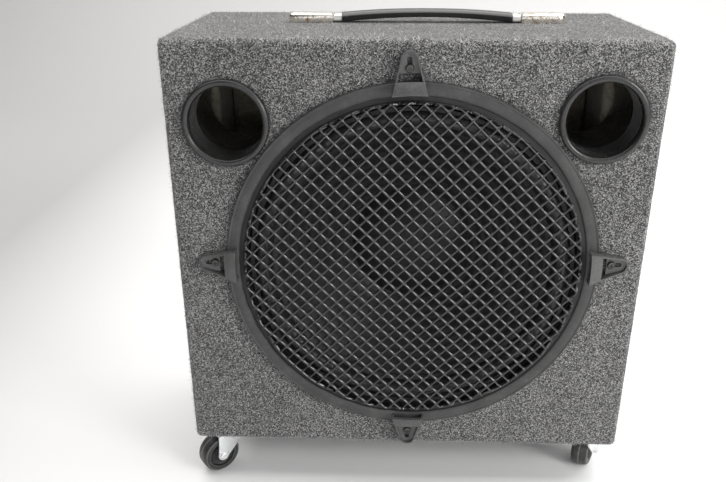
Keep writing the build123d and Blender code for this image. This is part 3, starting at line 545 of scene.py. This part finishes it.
def carpet_surface():
    """The carpet's outer surface as a bmesh: six gridded faces with the openings cut out."""
    lines = [grid_lines(low, high) for low, high in zip(SKIN_LOW, SKIN_HIGH)]
    work = bmesh.new()
    for normal in range(3):
        u, v = [a for a in range(3) if a != normal]
        for level in (SKIN_LOW[normal], SKIN_HIGH[normal]):
            grid = []
            for a in lines[u]:
                column = []
                for b in lines[v]:
                    point = [0.0, 0.0, 0.0]
                    point[normal], point[u], point[v] = level, a, b
                    column.append(work.verts.new(point))
                grid.append(column)
            flip = (level == SKIN_LOW[normal]) != (normal == 1)
            for i in range(len(grid) - 1):
                for j in range(len(grid[0]) - 1):
                    corners = [grid[i][j], grid[i + 1][j], grid[i + 1][j + 1], grid[i][j + 1]]
                    work.faces.new(reversed(corners) if flip else corners)
    bmesh.ops.remove_doubles(work, verts=work.verts, dist=1e-5)
    cut_round(work)
    cut_dish(work)
    for vertex in work.verts:
        vertex.co = rounded_to_box(vertex.co)
    return work


def cut_round(work):
    """Round openings in the front face, with their rims drawn onto true circles."""
    for x, z, radius in carpet_openings():
        inside = []
        for face in work.faces:
            c = face.calc_center_median()
            if c.y < FRONT_Y + 1e-6 and math.hypot(c.x - x, c.z - z) < radius:
                inside.append(face)
        rim = {v for f in inside for v in f.verts}
        bmesh.ops.delete(work, geom=inside, context="FACES")
        for vertex in rim:
            if vertex.is_valid:
                d = Vector((vertex.co.x - x, 0, vertex.co.z - z)).normalized() * radius
                vertex.co = (x + d.x, vertex.co.y, z + d.z)


def cut_dish(work):
    """The opening for the input dish in the back face."""
    low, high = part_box("input_dish")
    x0, x1 = low.x + DISH_INSET, high.x - DISH_INSET
    z0, z1 = low.z + DISH_INSET, high.z - DISH_INSET
    inside = []
    for face in work.faces:
        c = face.calc_center_median()
        if c.y > SKIN_HIGH.y - 1e-6 and x0 < c.x < x1 and z0 < c.z < z1:
            inside.append(face)
    rim = {v for f in inside for v in f.verts}
    bmesh.ops.delete(work, geom=inside, context="FACES")
    for vertex in rim:
        if vertex.is_valid:
            dx = min((vertex.co.x - x0, x0), (vertex.co.x - x1, x1), key=lambda t: abs(t[0]))
            dz = min((vertex.co.z - z0, z0), (vertex.co.z - z1, z1), key=lambda t: abs(t[0]))
            if abs(dx[0]) < abs(dz[0]):
                vertex.co.x = dx[1]
            else:
                vertex.co.z = dz[1]


def make_carpet(material, fibres):
    """The carpet as one thick sheet with a slightly uneven face, and its loose fibres."""
    work = carpet_surface()
    bmesh.ops.recalc_face_normals(work, faces=work.faces)
    work.normal_update()
    for vertex in work.verts:
        waves = noise.noise(vertex.co * 45) * 0.25 + noise.noise(vertex.co * 160) * 0.18
        vertex.co += vertex.normal * waves * MM
    mesh = bpy.data.meshes.new("carpet_skin")
    work.to_mesh(mesh)
    work.free()
    mesh.shade_smooth()
    piece = new_piece("carpet_skin", mesh, material, None)
    shell = piece.modifiers.new("thickness", "SOLIDIFY")
    shell.thickness = CARPET_THICK
    shell.offset = -1
    graph = bpy.context.evaluated_depsgraph_get()
    piece.data = bpy.data.meshes.new_from_object(piece.evaluated_get(graph))
    piece.modifiers.clear()
    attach(piece, CABINET)
    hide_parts("carpet_cover")
    make_fibres(mesh, fibres)


def make_fibres(mesh, material):
    """Loose curled fibres on the carpet, more of them along the rounded edges."""
    rng = np.random.default_rng(FIBRE_SEED)
    mesh.calc_loop_triangles()
    corners = np.array([t.vertices for t in mesh.loop_triangles])
    points = np.array([v.co for v in mesh.vertices])
    normals = np.array([v.normal for v in mesh.vertices])
    a, b, c = (points[corners[:, i]] for i in range(3))
    area = np.linalg.norm(np.cross(b - a, c - a), axis=1) / 2
    facing = np.abs(normals[corners[:, 0]]).max(axis=1)
    weight = area * np.where(facing < 0.97, EDGE_FIBRES, 1.0)
    weight[normals[corners[:, 0], 2] < -0.9] *= BOTTOM_FIBRES
    count = FIBRE_COUNT
    pick = rng.choice(len(corners), count, p=weight / weight.sum())
    s, t = rng.random((2, count))
    s, t = np.where(s + t > 1, 1 - s, s), np.where(s + t > 1, 1 - t, t)
    root = a[pick] + (b - a)[pick] * s[:, None] + (c - a)[pick] * t[:, None]
    up = normals[corners[pick, 0]]
    spin = rng.normal(size=(count, 3))
    along = spin - up * (spin * up).sum(1)[:, None]
    along /= np.linalg.norm(along, axis=1)[:, None]
    across = np.cross(up, along)
    length = rng.uniform(*FIBRE_LENGTH, count)[:, None] * MM
    height = rng.gamma(*FIBRE_RISE, count)[:, None] * MM
    curl = rng.normal(0, FIBRE_CURL, count)[:, None]
    half = rng.uniform(*FIBRE_HALF_WIDTH, count)[:, None] * MM
    vertices = []
    for f, lift in FIBRE_STATIONS:
        spine = root + along * length * f + across * length * curl * f * f + up * height * lift
        vertices += [spine - across * half, spine + across * half]
    stack = np.stack(vertices, axis=1).reshape(-1, 3)
    faces = []
    per_fibre = 2 * len(FIBRE_STATIONS)
    for i in range(count):
        base = i * per_fibre
        faces += [(base + k, base + k + 1, base + k + 3, base + k + 2) for k in (0, 2)]
    fuzz = bpy.data.meshes.new("carpet_fuzz")
    fuzz.from_pydata(stack, [], faces)
    fuzz.shade_smooth()
    new_piece("carpet_fuzz", fuzz, material, CABINET)


# ------------------------------------------------------------------ grille

CELL_PITCH = 11.4 * MM
# Half section of one bar in millimetres: (distance from the middle of the bar, depth behind its crest)
BAR_SECTION = ((0.0, 0.0), (0.24, 0.03), (0.46, 0.16), (0.95, 0.75), (1.35, 1.5), (1.7, 2.6), (1.5, 2.85),
               (0.0, 2.85))
CORNER_INSET = 1.5          # distance from a bar's middle at which the openings' corners are fully cut
CORNER_CHAMFER = 0.8 * MM
RIM_SPLITS = 6              # lengths that a bar near the rim is divided into, so that it can bend
RIM_PLANES = 90
MESH_WALL = 179.5 * MM
MESH_SHOULDER = 3.0 * MM
MESH_FLAT = MESH_WALL - MESH_SHOULDER
MESH_STRAIGHT = 3.6 * MM    # perforated part of the wall below the shoulder
FOOT_DEPTH = 7.4 * MM       # front of the foot behind the grille's face
FOOT_RADIUS = 194.8 * MM
FOOT_BEND = 1.1 * MM
RIM_THICK = 2.0 * MM


def lattice_cell(work, x, z, front, splits):
    """One square cell of the lattice, turned 45 degrees, from bar crest to bar crest."""
    rings = []
    for inset, depth in BAR_SECTION:
        half = CELL_PITCH / 2 - inset * MM
        chamfer = min(inset, CORNER_INSET) / CORNER_INSET * CORNER_CHAMFER
        ring = []
        for k in range(4):
            turn = Matrix.Rotation(math.radians(45 + 90 * k), 2)
            long = half - chamfer
            side = [(half, long * (2 * i / splits - 1)) for i in range(splits + 1)]
            for u, v in side:
                p = turn @ Vector((u, v))
                ring.append(work.verts.new((x + p.x, front + depth * MM, z + p.y)))
        rings.append(ring)
    made = []
    around = len(rings[0])
    for inner, outer in zip(rings[1:], rings):
        for k in range(around):
            n = (k + 1) % around
            made.append(work.faces.new((outer[k], outer[n], inner[n], inner[k])))
    return made


def bent_over(point, front):
    """A point of the flat lattice moved over the round shoulder and down the wall."""
    x, z = point.x - DRIVER_X, point.z - DRIVER_Z
    depth = point.y - front
    spread = math.hypot(x, z)
    over = spread - MESH_FLAT
    if over <= 0:
        return point
    bend = MESH_SHOULDER * math.pi / 2
    turn = min(over, bend) / MESH_SHOULDER
    radial = MESH_FLAT + (MESH_SHOULDER - depth) * math.sin(turn)
    down = MESH_SHOULDER - (MESH_SHOULDER - depth) * math.cos(turn) + max(over - bend, 0)
    return Vector((DRIVER_X + x / spread * radial, front + down, DRIVER_Z + z / spread * radial))


def make_grille(material):
    """Pressed waffle sheet: crowned bars, bent over the shoulder and down to the plain foot."""
    low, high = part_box("grille_mesh")
    front, back = low.y, high.y
    cut = MESH_FLAT + MESH_SHOULDER * math.pi / 2 + MESH_STRAIGHT
    corner = CELL_PITCH / math.sqrt(2)
    work = bmesh.new()
    reach = int(cut / CELL_PITCH) + 2
    rim_faces = []
    for i in range(-reach, reach + 1):
        for j in range(-reach, reach + 1):
            x = (i - j) * corner
            z = (i + j) * corner
            distance = math.hypot(x, z)
            if distance - corner > cut:
                continue
            at_rim = distance + corner > MESH_FLAT
            made = lattice_cell(work, x + DRIVER_X, z + DRIVER_Z, front, RIM_SPLITS if at_rim else 1)
            if at_rim:
                rim_faces += made
    for k in range(RIM_PLANES):
        turn = 2 * math.pi * k / RIM_PLANES
        outward = Vector((math.cos(turn), 0, math.sin(turn)))
        place = Vector((DRIVER_X, 0, DRIVER_Z)) + outward * cut
        rim_faces = [f for f in rim_faces if f.is_valid]
        edges = {e for f in rim_faces for e in f.edges}
        verts = {v for f in rim_faces for v in f.verts}
        done = bmesh.ops.bisect_plane(work, geom=[*rim_faces, *edges, *verts], dist=1e-7, plane_co=place,
                                      plane_no=outward, clear_outer=True)
        rim_faces = [g for g in done["geom"] if isinstance(g, bmesh.types.BMFace)]
    bmesh.ops.remove_doubles(work, verts=work.verts, dist=2e-6)
    for vertex in work.verts:
        vertex.co = bent_over(vertex.co, front)
    lattice = bpy.data.meshes.new("grille_lattice")
    work.to_mesh(lattice)
    work.free()
    lattice.shade_smooth()
    lattice.set_sharp_from_angle(angle=math.radians(46))

    top = front + MESH_SHOULDER + MESH_STRAIGHT - 0.9 * MM
    foot = front + FOOT_DEPTH
    inside = MESH_WALL - RIM_THICK
    profile = [(inside, top), (MESH_WALL - 0.9 * MM, top - 0.5 * MM), (MESH_WALL - 0.15 * MM, top)]
    profile += arc((MESH_WALL + 1.0 * MM, foot - 0.5 * MM), FOOT_BEND, 180, 90, 4)
    profile += [(FOOT_RADIUS, foot + 0.1 * MM), (FOOT_RADIUS, back), (inside, back)]
    rim = lathe("grille_rim", profile, (DRIVER_X, 0, DRIVER_Z), (0, 1, 0), 180)

    grille = new_piece("waffle_grille", lattice, material, None)
    edge = new_piece("waffle_rim", rim, moulded("grille_foot", 0.006, 0.6), None)
    with bpy.context.temp_override(active_object=grille, selected_editable_objects=[grille, edge]):
        bpy.ops.object.join()
    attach(grille, CABINET)
    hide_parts("grille_mesh")


def make_trim_ring(material):
    """Rubber ring with a bead along its outer edge, a crowned face and a groove for the grille's foot.

    Its section is in millimetres: radius, and distance from the carpet's face.
    """
    outer = 198.0
    bead = 1.1
    front = [(190.6, 0), (outer, 0), (outer, -4.4)]
    for turn in (0.0, 0.5, 1.0, 1.57, 2.1, 2.6):
        front.append((outer - bead + bead * math.cos(turn), -5.3 - bead * math.sin(turn)))
    front += [(195.6, -5.75), (194.6, -5.95), (192.6, -6.35), (190.0, -6.5), (187.6, -6.35), (185.9, -5.9),
              (184.8, -5.3), (184.35, -4.75), (184.35, -4.66), (194.9, -4.66), (194.9, -3.34), (190.6, -3.34)]
    profile = [(r * MM, FRONT_Y + d * MM) for r, d in front]
    mesh = lathe("trim_ring", profile, (DRIVER_X, 0, DRIVER_Z), (0, 1, 0), 192)
    new_piece("trim_ring", mesh, material, CABINET, ["grille_trim_ring"])


# ------------------------------------------------------------------ driver

NECK_RADIUS = 38.3 * MM
CONE_THICK = 1.5 * MM
CONE_STEPS = 120
RIB_RELIEF = 0.35 * MM
RIB_PITCH = 9 * MM
ROLL_MIDDLE = 159.5 * MM    # radius at the top of the surround's roll
ROLL_HALF = 9.0 * MM
SURROUND_THICK = 0.9 * MM
FLAP_Y = FRONT_Y + 6.0 * MM         # the surround's outer flap, on the basket
ROLL_INNER_Y = FRONT_Y + 9.8 * MM
CONE_EDGE_Y = FRONT_Y + 12.2 * MM


def make_driver(cone_paper, rubber):
    """Ribbed cone and half-roll surround."""
    low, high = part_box("cone")
    radius = (high.x - low.x) / 2
    centre = (DRIVER_X, 0, DRIVER_Z)
    slope = (high.y - CONE_THICK - low.y) / (radius - NECK_RADIUS)
    front = []
    for i in range(CONE_STEPS + 1):
        r = radius + (NECK_RADIUS - radius) * i / CONE_STEPS
        rib = RIB_RELIEF * math.sin((radius - r) / RIB_PITCH * 2 * math.pi)
        front.append((r, low.y + (radius - r) * slope + rib))
    rear = [(r, y + CONE_THICK) for r, y in reversed(front[::4])]
    cone = lathe("cone_shell", front + rear, centre, (0, 1, 0), 128)
    new_piece("cone_shell", cone, cone_paper, "cone_assembly", ["cone"])

    low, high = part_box("surround")
    outer = (high.x - low.x) / 2
    top = low.y
    roll = []
    for i in range(25):
        turn = math.pi * i / 24
        r = ROLL_MIDDLE + ROLL_HALF * math.cos(turn)
        drop = FLAP_Y if turn < math.pi / 2 else ROLL_INNER_Y
        roll.append((r, drop + (top - drop) * math.sin(turn)))
    front = [(outer, FLAP_Y), (ROLL_MIDDLE + ROLL_HALF + 1.0 * MM, FLAP_Y), *roll,
             (radius - 4 * MM, CONE_EDGE_Y)]
    rear = [(r, y + SURROUND_THICK) for r, y in reversed(front)]
    mesh = lathe("surround_roll", front + rear, centre, (0, 1, 0), 128)
    piece = new_piece("surround_roll", mesh, rubber, None)
    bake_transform(piece)
    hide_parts("surround")


SPIDER_PARTS = 8            # wedges of the disc
SPIDER_STEPS = 12
SPIDER_INNER = 38.2 * MM
SPIDER_WAVED = (41.5 * MM, 98 * MM)
SPIDER_WAVES = 6
SPIDER_SWING = 1.5 * MM
SPIDER_THICK = 0.6 * MM
SPIDER_SETBACK = 0.35 * MM
WAVE_STEPS = 72


def spider_profile():
    """The disc's closed section, as (radius, y)."""
    low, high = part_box("spider")
    outer = (high.x - low.x) / 2
    level = (low.y + high.y) / 2 - SPIDER_SETBACK
    start, end = SPIDER_WAVED
    front = [(SPIDER_INNER, level)]
    for i in range(WAVE_STEPS + 1):
        f = i / WAVE_STEPS
        swing = SPIDER_SWING * math.sin(f * SPIDER_WAVES * 2 * math.pi)
        front.append((start + (end - start) * f, level + swing))
    front.append((outer, level))
    return front + [(r, y + SPIDER_THICK) for r, y in reversed(front)]


def wedge_mesh(name, profile, start, angle, steps):
    """A closed wedge of the lathed profile, from an angle over an angle."""
    vertices = []
    for i in range(steps + 1):
        turn = start + angle / steps * i
        outward = Vector((math.cos(turn), 0, math.sin(turn)))
        vertices += [Vector((DRIVER_X, y, DRIVER_Z)) + outward * r for r, y in profile]
    count = len(profile)
    faces = []
    for i in range(steps):
        here, there = i * count, (i + 1) * count
        for j in range(count):
            k = (j + 1) % count
            faces.append((here + j, here + k, there + k, there + j))
    last = steps * count
    for j in range(count // 2 - 1):
        mate = count - 1 - j
        faces.append((j + 1, j, mate, mate - 1))
        faces.append((last + j, last + j + 1, last + mate - 1, last + mate))
    return mesh_from(name, vertices, faces)


def make_spider(cloth):
    """Corrugated cloth disc between the voice coil and the basket, as wedges."""
    profile = spider_profile()
    angle = 2 * math.pi / SPIDER_PARTS
    for k in range(SPIDER_PARTS):
        mesh = wedge_mesh("spider_part", profile, angle * k, angle, SPIDER_STEPS)
        piece = new_piece("spider_part_%d" % (k + 1), mesh, cloth, None, ())
        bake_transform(piece)
        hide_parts("spider")


# ------------------------------------------------------------------ wadding

BACK_BATT = 26 * MM
SIDE_BATT = 14 * MM
BATT_GAP = 1 * MM
BATT_CELL = 9 * MM


def batt_boxes():
    """The box of each batt: back above the dish, back on both sides of the dish, and the two sides."""
    low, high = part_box("damping_wadding")
    dish_low, dish_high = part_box("input_dish")
    back = high.y - BACK_BATT
    above = dish_high.z + BATT_GAP
    below = above - 2 * BATT_GAP
    return {
        "wadding_back": ((low.x, back, above), (high.x, high.y, high.z)),
        "wadding_back_low_left": ((low.x, back, low.z), (dish_low.x - BATT_GAP, high.y, below)),
        "wadding_back_low_right": ((dish_high.x + BATT_GAP, back, low.z), (high.x, high.y, below)),
        "wadding_left": ((low.x, low.y, low.z), (low.x + SIDE_BATT, back - BATT_GAP, high.z)),
        "wadding_right": ((high.x - SIDE_BATT, low.y, low.z), (high.x, back - BATT_GAP, high.z)),
    }


def make_wadding(material):
    """Lumpy polyester batts on the back and side panels, behind the open port tubes."""
    for index, (name, (a, b)) in enumerate(batt_boxes().items()):
        a = Vector(a)
        size = Vector(b) - a
        work = bmesh.new()
        bmesh.ops.create_cube(work, size=1.0)
        cuts = [max(2, round(s / BATT_CELL)) for s in size]
        for axis in range(3):
            normal = Vector([1.0 if k == axis else 0.0 for k in range(3)])
            for i in range(1, cuts[axis]):
                place = Vector([-0.5 + i / cuts[axis] if k == axis else 0.0 for k in range(3)])
                geometry = [*work.verts, *work.edges, *work.faces]
                bmesh.ops.bisect_plane(work, geom=geometry, plane_co=place, plane_no=normal)
        for vertex in work.verts:
            fullness = min(math.cos(math.pi * c * 0.92) ** 0.35 for c in vertex.co)
            squeezed = Vector([c * (0.90 + 0.10 * fullness) for c in vertex.co])
            place = a + size / 2 + Vector([c * s for c, s in zip(squeezed, size)])
            lumps = noise.noise(place * 38 + Vector((index, 0, 0))) * 1.6 + noise.noise(place * 110) * 0.8
            inward = Vector([-math.copysign(1, c) if abs(c) > 0.42 else 0 for c in vertex.co])
            vertex.co = place + inward * abs(lumps) * MM
        mesh = bpy.data.meshes.new(name)
        work.to_mesh(mesh)
        work.free()
        mesh.shade_smooth()
        piece = new_piece(name, mesh, material, CABINET, ["damping_wadding"])


# ------------------------------------------------------------------ handle

GRIP_THICK = 10.2 * MM
GRIP_STEPS = 96
COLLAR_LENGTH = 5 * MM
COLLAR_EASE = 0.8 * MM      # length over which the collar's end is eased
WAIST = 0.93                # the grip between the collars, against the collars


def loft(name, stations, sharp=math.radians(35)):
    """Closed tube through a list of rings that each hold the same number of points."""
    count = len(stations[0])
    vertices = [p for ring in stations for p in ring]
    faces = []
    for i in range(len(stations) - 1):
        for j in range(count):
            k = (j + 1) % count
            faces.append((i * count + j, i * count + k, (i + 1) * count + k, (i + 1) * count + j))
    faces.append(tuple(reversed(range(count))))
    faces.append(tuple(range((len(stations) - 1) * count, len(stations) * count)))
    return mesh_from(name, vertices, faces, sharp)


def grip_section(width, thick):
    """Flat-sided section with a crowned top and a parting ridge under the crown; (across, up) points."""
    side = [(0.50, -0.26), (0.50, -0.02), (0.515, 0.04), (0.505, 0.10), (0.455, 0.19), (0.38, 0.30),
            (0.28, 0.40), (0.15, 0.47)]
    bottom = [(0.30, -0.50), (0.41, -0.47), (0.475, -0.39)]
    right = bottom + side
    points = [(x * width, y * thick) for x, y in right] + [(0.0, thick / 2)]
    return points + [(-x * width, y * thick) for x, y in reversed(right)]


def make_grip(material):
    """Arched grip with a collar at each end, a little thinner at its middle than near the collars."""
    low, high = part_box("handle_grip")
    middle_x = (low.x + high.x) / 2
    middle_y = (low.y + high.y) / 2
    half = (high.x - low.x) / 2 - 0.6 * MM
    width = high.y - low.y - 1.0 * MM
    crest = high.z - GRIP_THICK / 2
    drop = crest - (low.z + GRIP_THICK / 2 + 0.2 * MM)
    radius = (half ** 2 + drop ** 2) / (2 * drop)
    stations = []
    for i in range(GRIP_STEPS + 1):
        s = -1 + 2 * i / GRIP_STEPS
        turn = s * math.asin(half / radius)
        rise = crest - radius + radius * math.cos(turn)
        centre = Vector((middle_x + radius * math.sin(turn), middle_y, rise))
        up = Vector((math.sin(turn), 0, math.cos(turn)))
        from_end = (1 - abs(s)) * half
        scale = 1.0 if from_end < COLLAR_LENGTH else WAIST
        if from_end < COLLAR_EASE:
            scale = 0.95
        belly = 1.0 - 0.05 * math.cos(s * math.pi) if scale == WAIST else 1.0
        ring = []
        for across, above in grip_section(width * scale, GRIP_THICK * scale * belly):
            ring.append(centre + Vector((0, across, 0)) + up * above)
        stations.append(ring)
    mesh = loft("grip_moulding", stations)
    new_piece("grip_moulding", mesh, material, "handle_strap", ["handle_grip"])


# ------------------------------------------------------------------ casters

def joint_named(name):
    return next(j for j in frame["joints"] if j["name"] == name)


# One side of a wheel: (radius, distance from the middle, share of lighter grey for tread wear and painted
# highlight on the ridges) in millimetres
WHEEL_SIDE = (
    (3.06, 10.9, 0), (6.4, 10.9, 0.3), (7.0, 10.4, 0.3), (7.4, 6.6, 0), (8.2, 6.0, 0), (14.6, 6.4, 0),
    (15.6, 7.0, 0), (16.2, 9.3, 0), (16.7, 9.9, 0.4), (17.6, 10.0, 0.1), (19.6, 9.9, 0), (20.0, 9.6, 0),
    (20.5, 9.6, 0), (20.9, 9.9, 0.6), (21.5, 9.7, 0.5), (22.6, 8.9, 0), (23.5, 7.3, 0), (23.9, 5.3, 0.1),
    (23.95, 1.1, 0.1), (24.0, 0.7, 0.7), (24.0, 0.0, 0.8))
WHEEL_SEGMENTS = 72


def make_wheels(material):
    """Four wheels turned about their own axles, with the tread wear and the painted highlight on the moulded
    lines marked.
    """
    right = [(r * MM, d * MM) for r, d, _ in WHEEL_SIDE]
    profile = right + [(r, -d) for r, d in reversed(right[:-1])]
    one_side = [wear_and_highlight_amount for _, _, wear_and_highlight_amount in WHEEL_SIDE]
    wear_and_highlight = one_side + one_side[-2::-1]
    for corner in CORNERS:
        spin = joint_named(corner + "_spin")
        name = corner + "_tread"
        mesh = lathe(name, profile, spin["pos_m"], spin["axis"], WHEEL_SEGMENTS, math.radians(32))
        wear_and_highlight_amount = mesh.attributes.new(WEAR_AND_HIGHLIGHT, "FLOAT", "POINT")
        wear_and_highlight_amount.data.foreach_set("value", wear_and_highlight * WHEEL_SEGMENTS)
        new_piece(name, mesh, material, corner + "_roller", [corner + "_wheel"])


# ------------------------------------------------------------------ the whole model


def bend_leads(material):
    """The tinsel leads between the solder tags and the cone, as a welded copy of the CAD node."""
    leads = new_piece("tinsel_bent", welded("tinsel_leads"), material, None)
    leads.matrix_world = frame["nodes"]["tinsel_leads"].matrix_world.copy()
    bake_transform(leads)
    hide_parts("tinsel_leads")


def finish_cad_nodes():
    """Materials for the CAD nodes whose shape is already right, and rounded edges for some of them."""
    zinc = metal("bright_zinc", (0.90, 0.91, 0.92), 0.42, stain=(0.62, 0.62, 0.60))
    fastener = metal("zinc_fastener", (0.66, 0.66, 0.64), 0.38, stain=(0.30, 0.22, 0.14), stain_size=3 * MM)
    dull = metal("dull_screw", (0.10, 0.10, 0.10), 0.46, stain=(0.10, 0.07, 0.05), stain_size=2 * MM)
    black_screw = moulded("black_screw", 0.03, 0.38)
    board = particle_board_material()
    paint(board, "front_baffle", "back_panel", "top_panel", "bottom_panel", "left_side_panel",
          "right_side_panel")
    paint(moulded("port_plastic", 0.016, 0.27, dust=0.05), "left_port", "right_port")
    paint(moulded("basket_enamel", 0.025, 0.35), "driver_basket")
    paint(moulded("gasket_foam", 0.03, 0.85, grain=1.5 * MM, relief=0.3 * MM), "driver_gasket")
    paint(paper("cap_paper", 0.010), "dust_cap")
    paint(metal("former_foil", (0.80, 0.81, 0.83), 0.30), "voice_coil_former")
    paint(metal("copper_wire", (0.75, 0.36, 0.18), 0.35), "voice_coil_winding")
    paint(metal("zinc_plate", (0.70, 0.68, 0.58), 0.35), "magnet_top_plate", "pole_yoke")
    paint(moulded("ferrite", 0.06, 0.6, grain=0.5 * MM), "magnet")
    paint(moulded("tag_board", 0.12, 0.5, tint=0.5), "driver_terminals")
    bend_leads(metal("tinsel", (0.72, 0.42, 0.26), 0.4))
    paint(black_screw, "driver_bolts", "dish_screws")
    paint(fastener, "t_nuts", "handle_screws", "caster_screws")
    paint(dull, "clamp_screws")
    paint(metal("strap_steel", (0.93, 0.91, 0.87), 0.24), "handle_strap_core")
    paint(moulded("lead_pvc", 0.03, 0.45), "internal_leads")
    paint(moulded("jack_plastic", 0.02, 0.25), "jack_input", "jack_link")
    paint(zinc, "caster_rivets", *[c + "_axle" for c in CORNERS])
    for corner in CORNERS:
        eased(corner + "_fork", 0.5 * MM, zinc, corner + "_swivel")
        eased(corner + "_plate", 0.4 * MM, zinc, CABINET)
    clamp_plastic = moulded("clamp_plastic", 0.058, 0.26, dust=0.2)
    for name in ("clamp_top", "clamp_bottom", "clamp_left", "clamp_right"):
        eased(name, 0.55 * MM, clamp_plastic, CABINET)
    nickel = metal("worn_nickel", (0.90, 0.86, 0.79), 0.17, stain=(0.45, 0.30, 0.18), stain_size=7 * MM,
                   scratch=0.15)
    for name in ("handle_end_left", "handle_end_right"):
        eased(name, 0.7 * MM, nickel, CABINET)
    eased("input_dish", 0.6 * MM, moulded("dish_plastic", 0.028, 0.45), CABINET)


def make_floor():
    """Pale floor that curves up into a wall far behind the cabinet."""
    line = [(-FLOOR_REACH, 0.0), (COVE_START, 0.0)]
    for i in range(1, COVE_STEPS + 1):
        turn = math.radians(90 * i / COVE_STEPS)
        line.append((COVE_START + COVE_RADIUS * math.sin(turn), COVE_RADIUS * (1 - math.cos(turn))))
    line.append((COVE_START + COVE_RADIUS, WALL_HEIGHT))
    vertices = [(x, y, z) for y, z in line for x in (-FLOOR_REACH, FLOOR_REACH)]
    faces = [(2 * i, 2 * i + 1, 2 * i + 3, 2 * i + 2) for i in range(len(line) - 1)]
    mesh = mesh_from("floor", vertices, faces)
    mesh.materials.append(floor_material())
    floor = bpy.data.objects.new("floor", mesh)
    bpy.context.scene.collection.objects.link(floor)


make_camera()
make_light()
make_floor()
finish_cad_nodes()
make_carpet(carpet_material(), fibre_material())
make_grille(grille_material())
make_trim_ring(trim_rubber_material())
make_driver(paper("cone_paper", 0.014), moulded("surround_rubber", 0.025, 0.36))
make_spider(woven("spider_cloth", (0.40, 0.28, 0.10, 1), (0.62, 0.46, 0.22, 1)))
make_wadding(wadding_material())
make_grip(moulded("grip_vinyl", 0.016, 0.18, relief=0.02 * MM))
make_wheels(wheel_material())
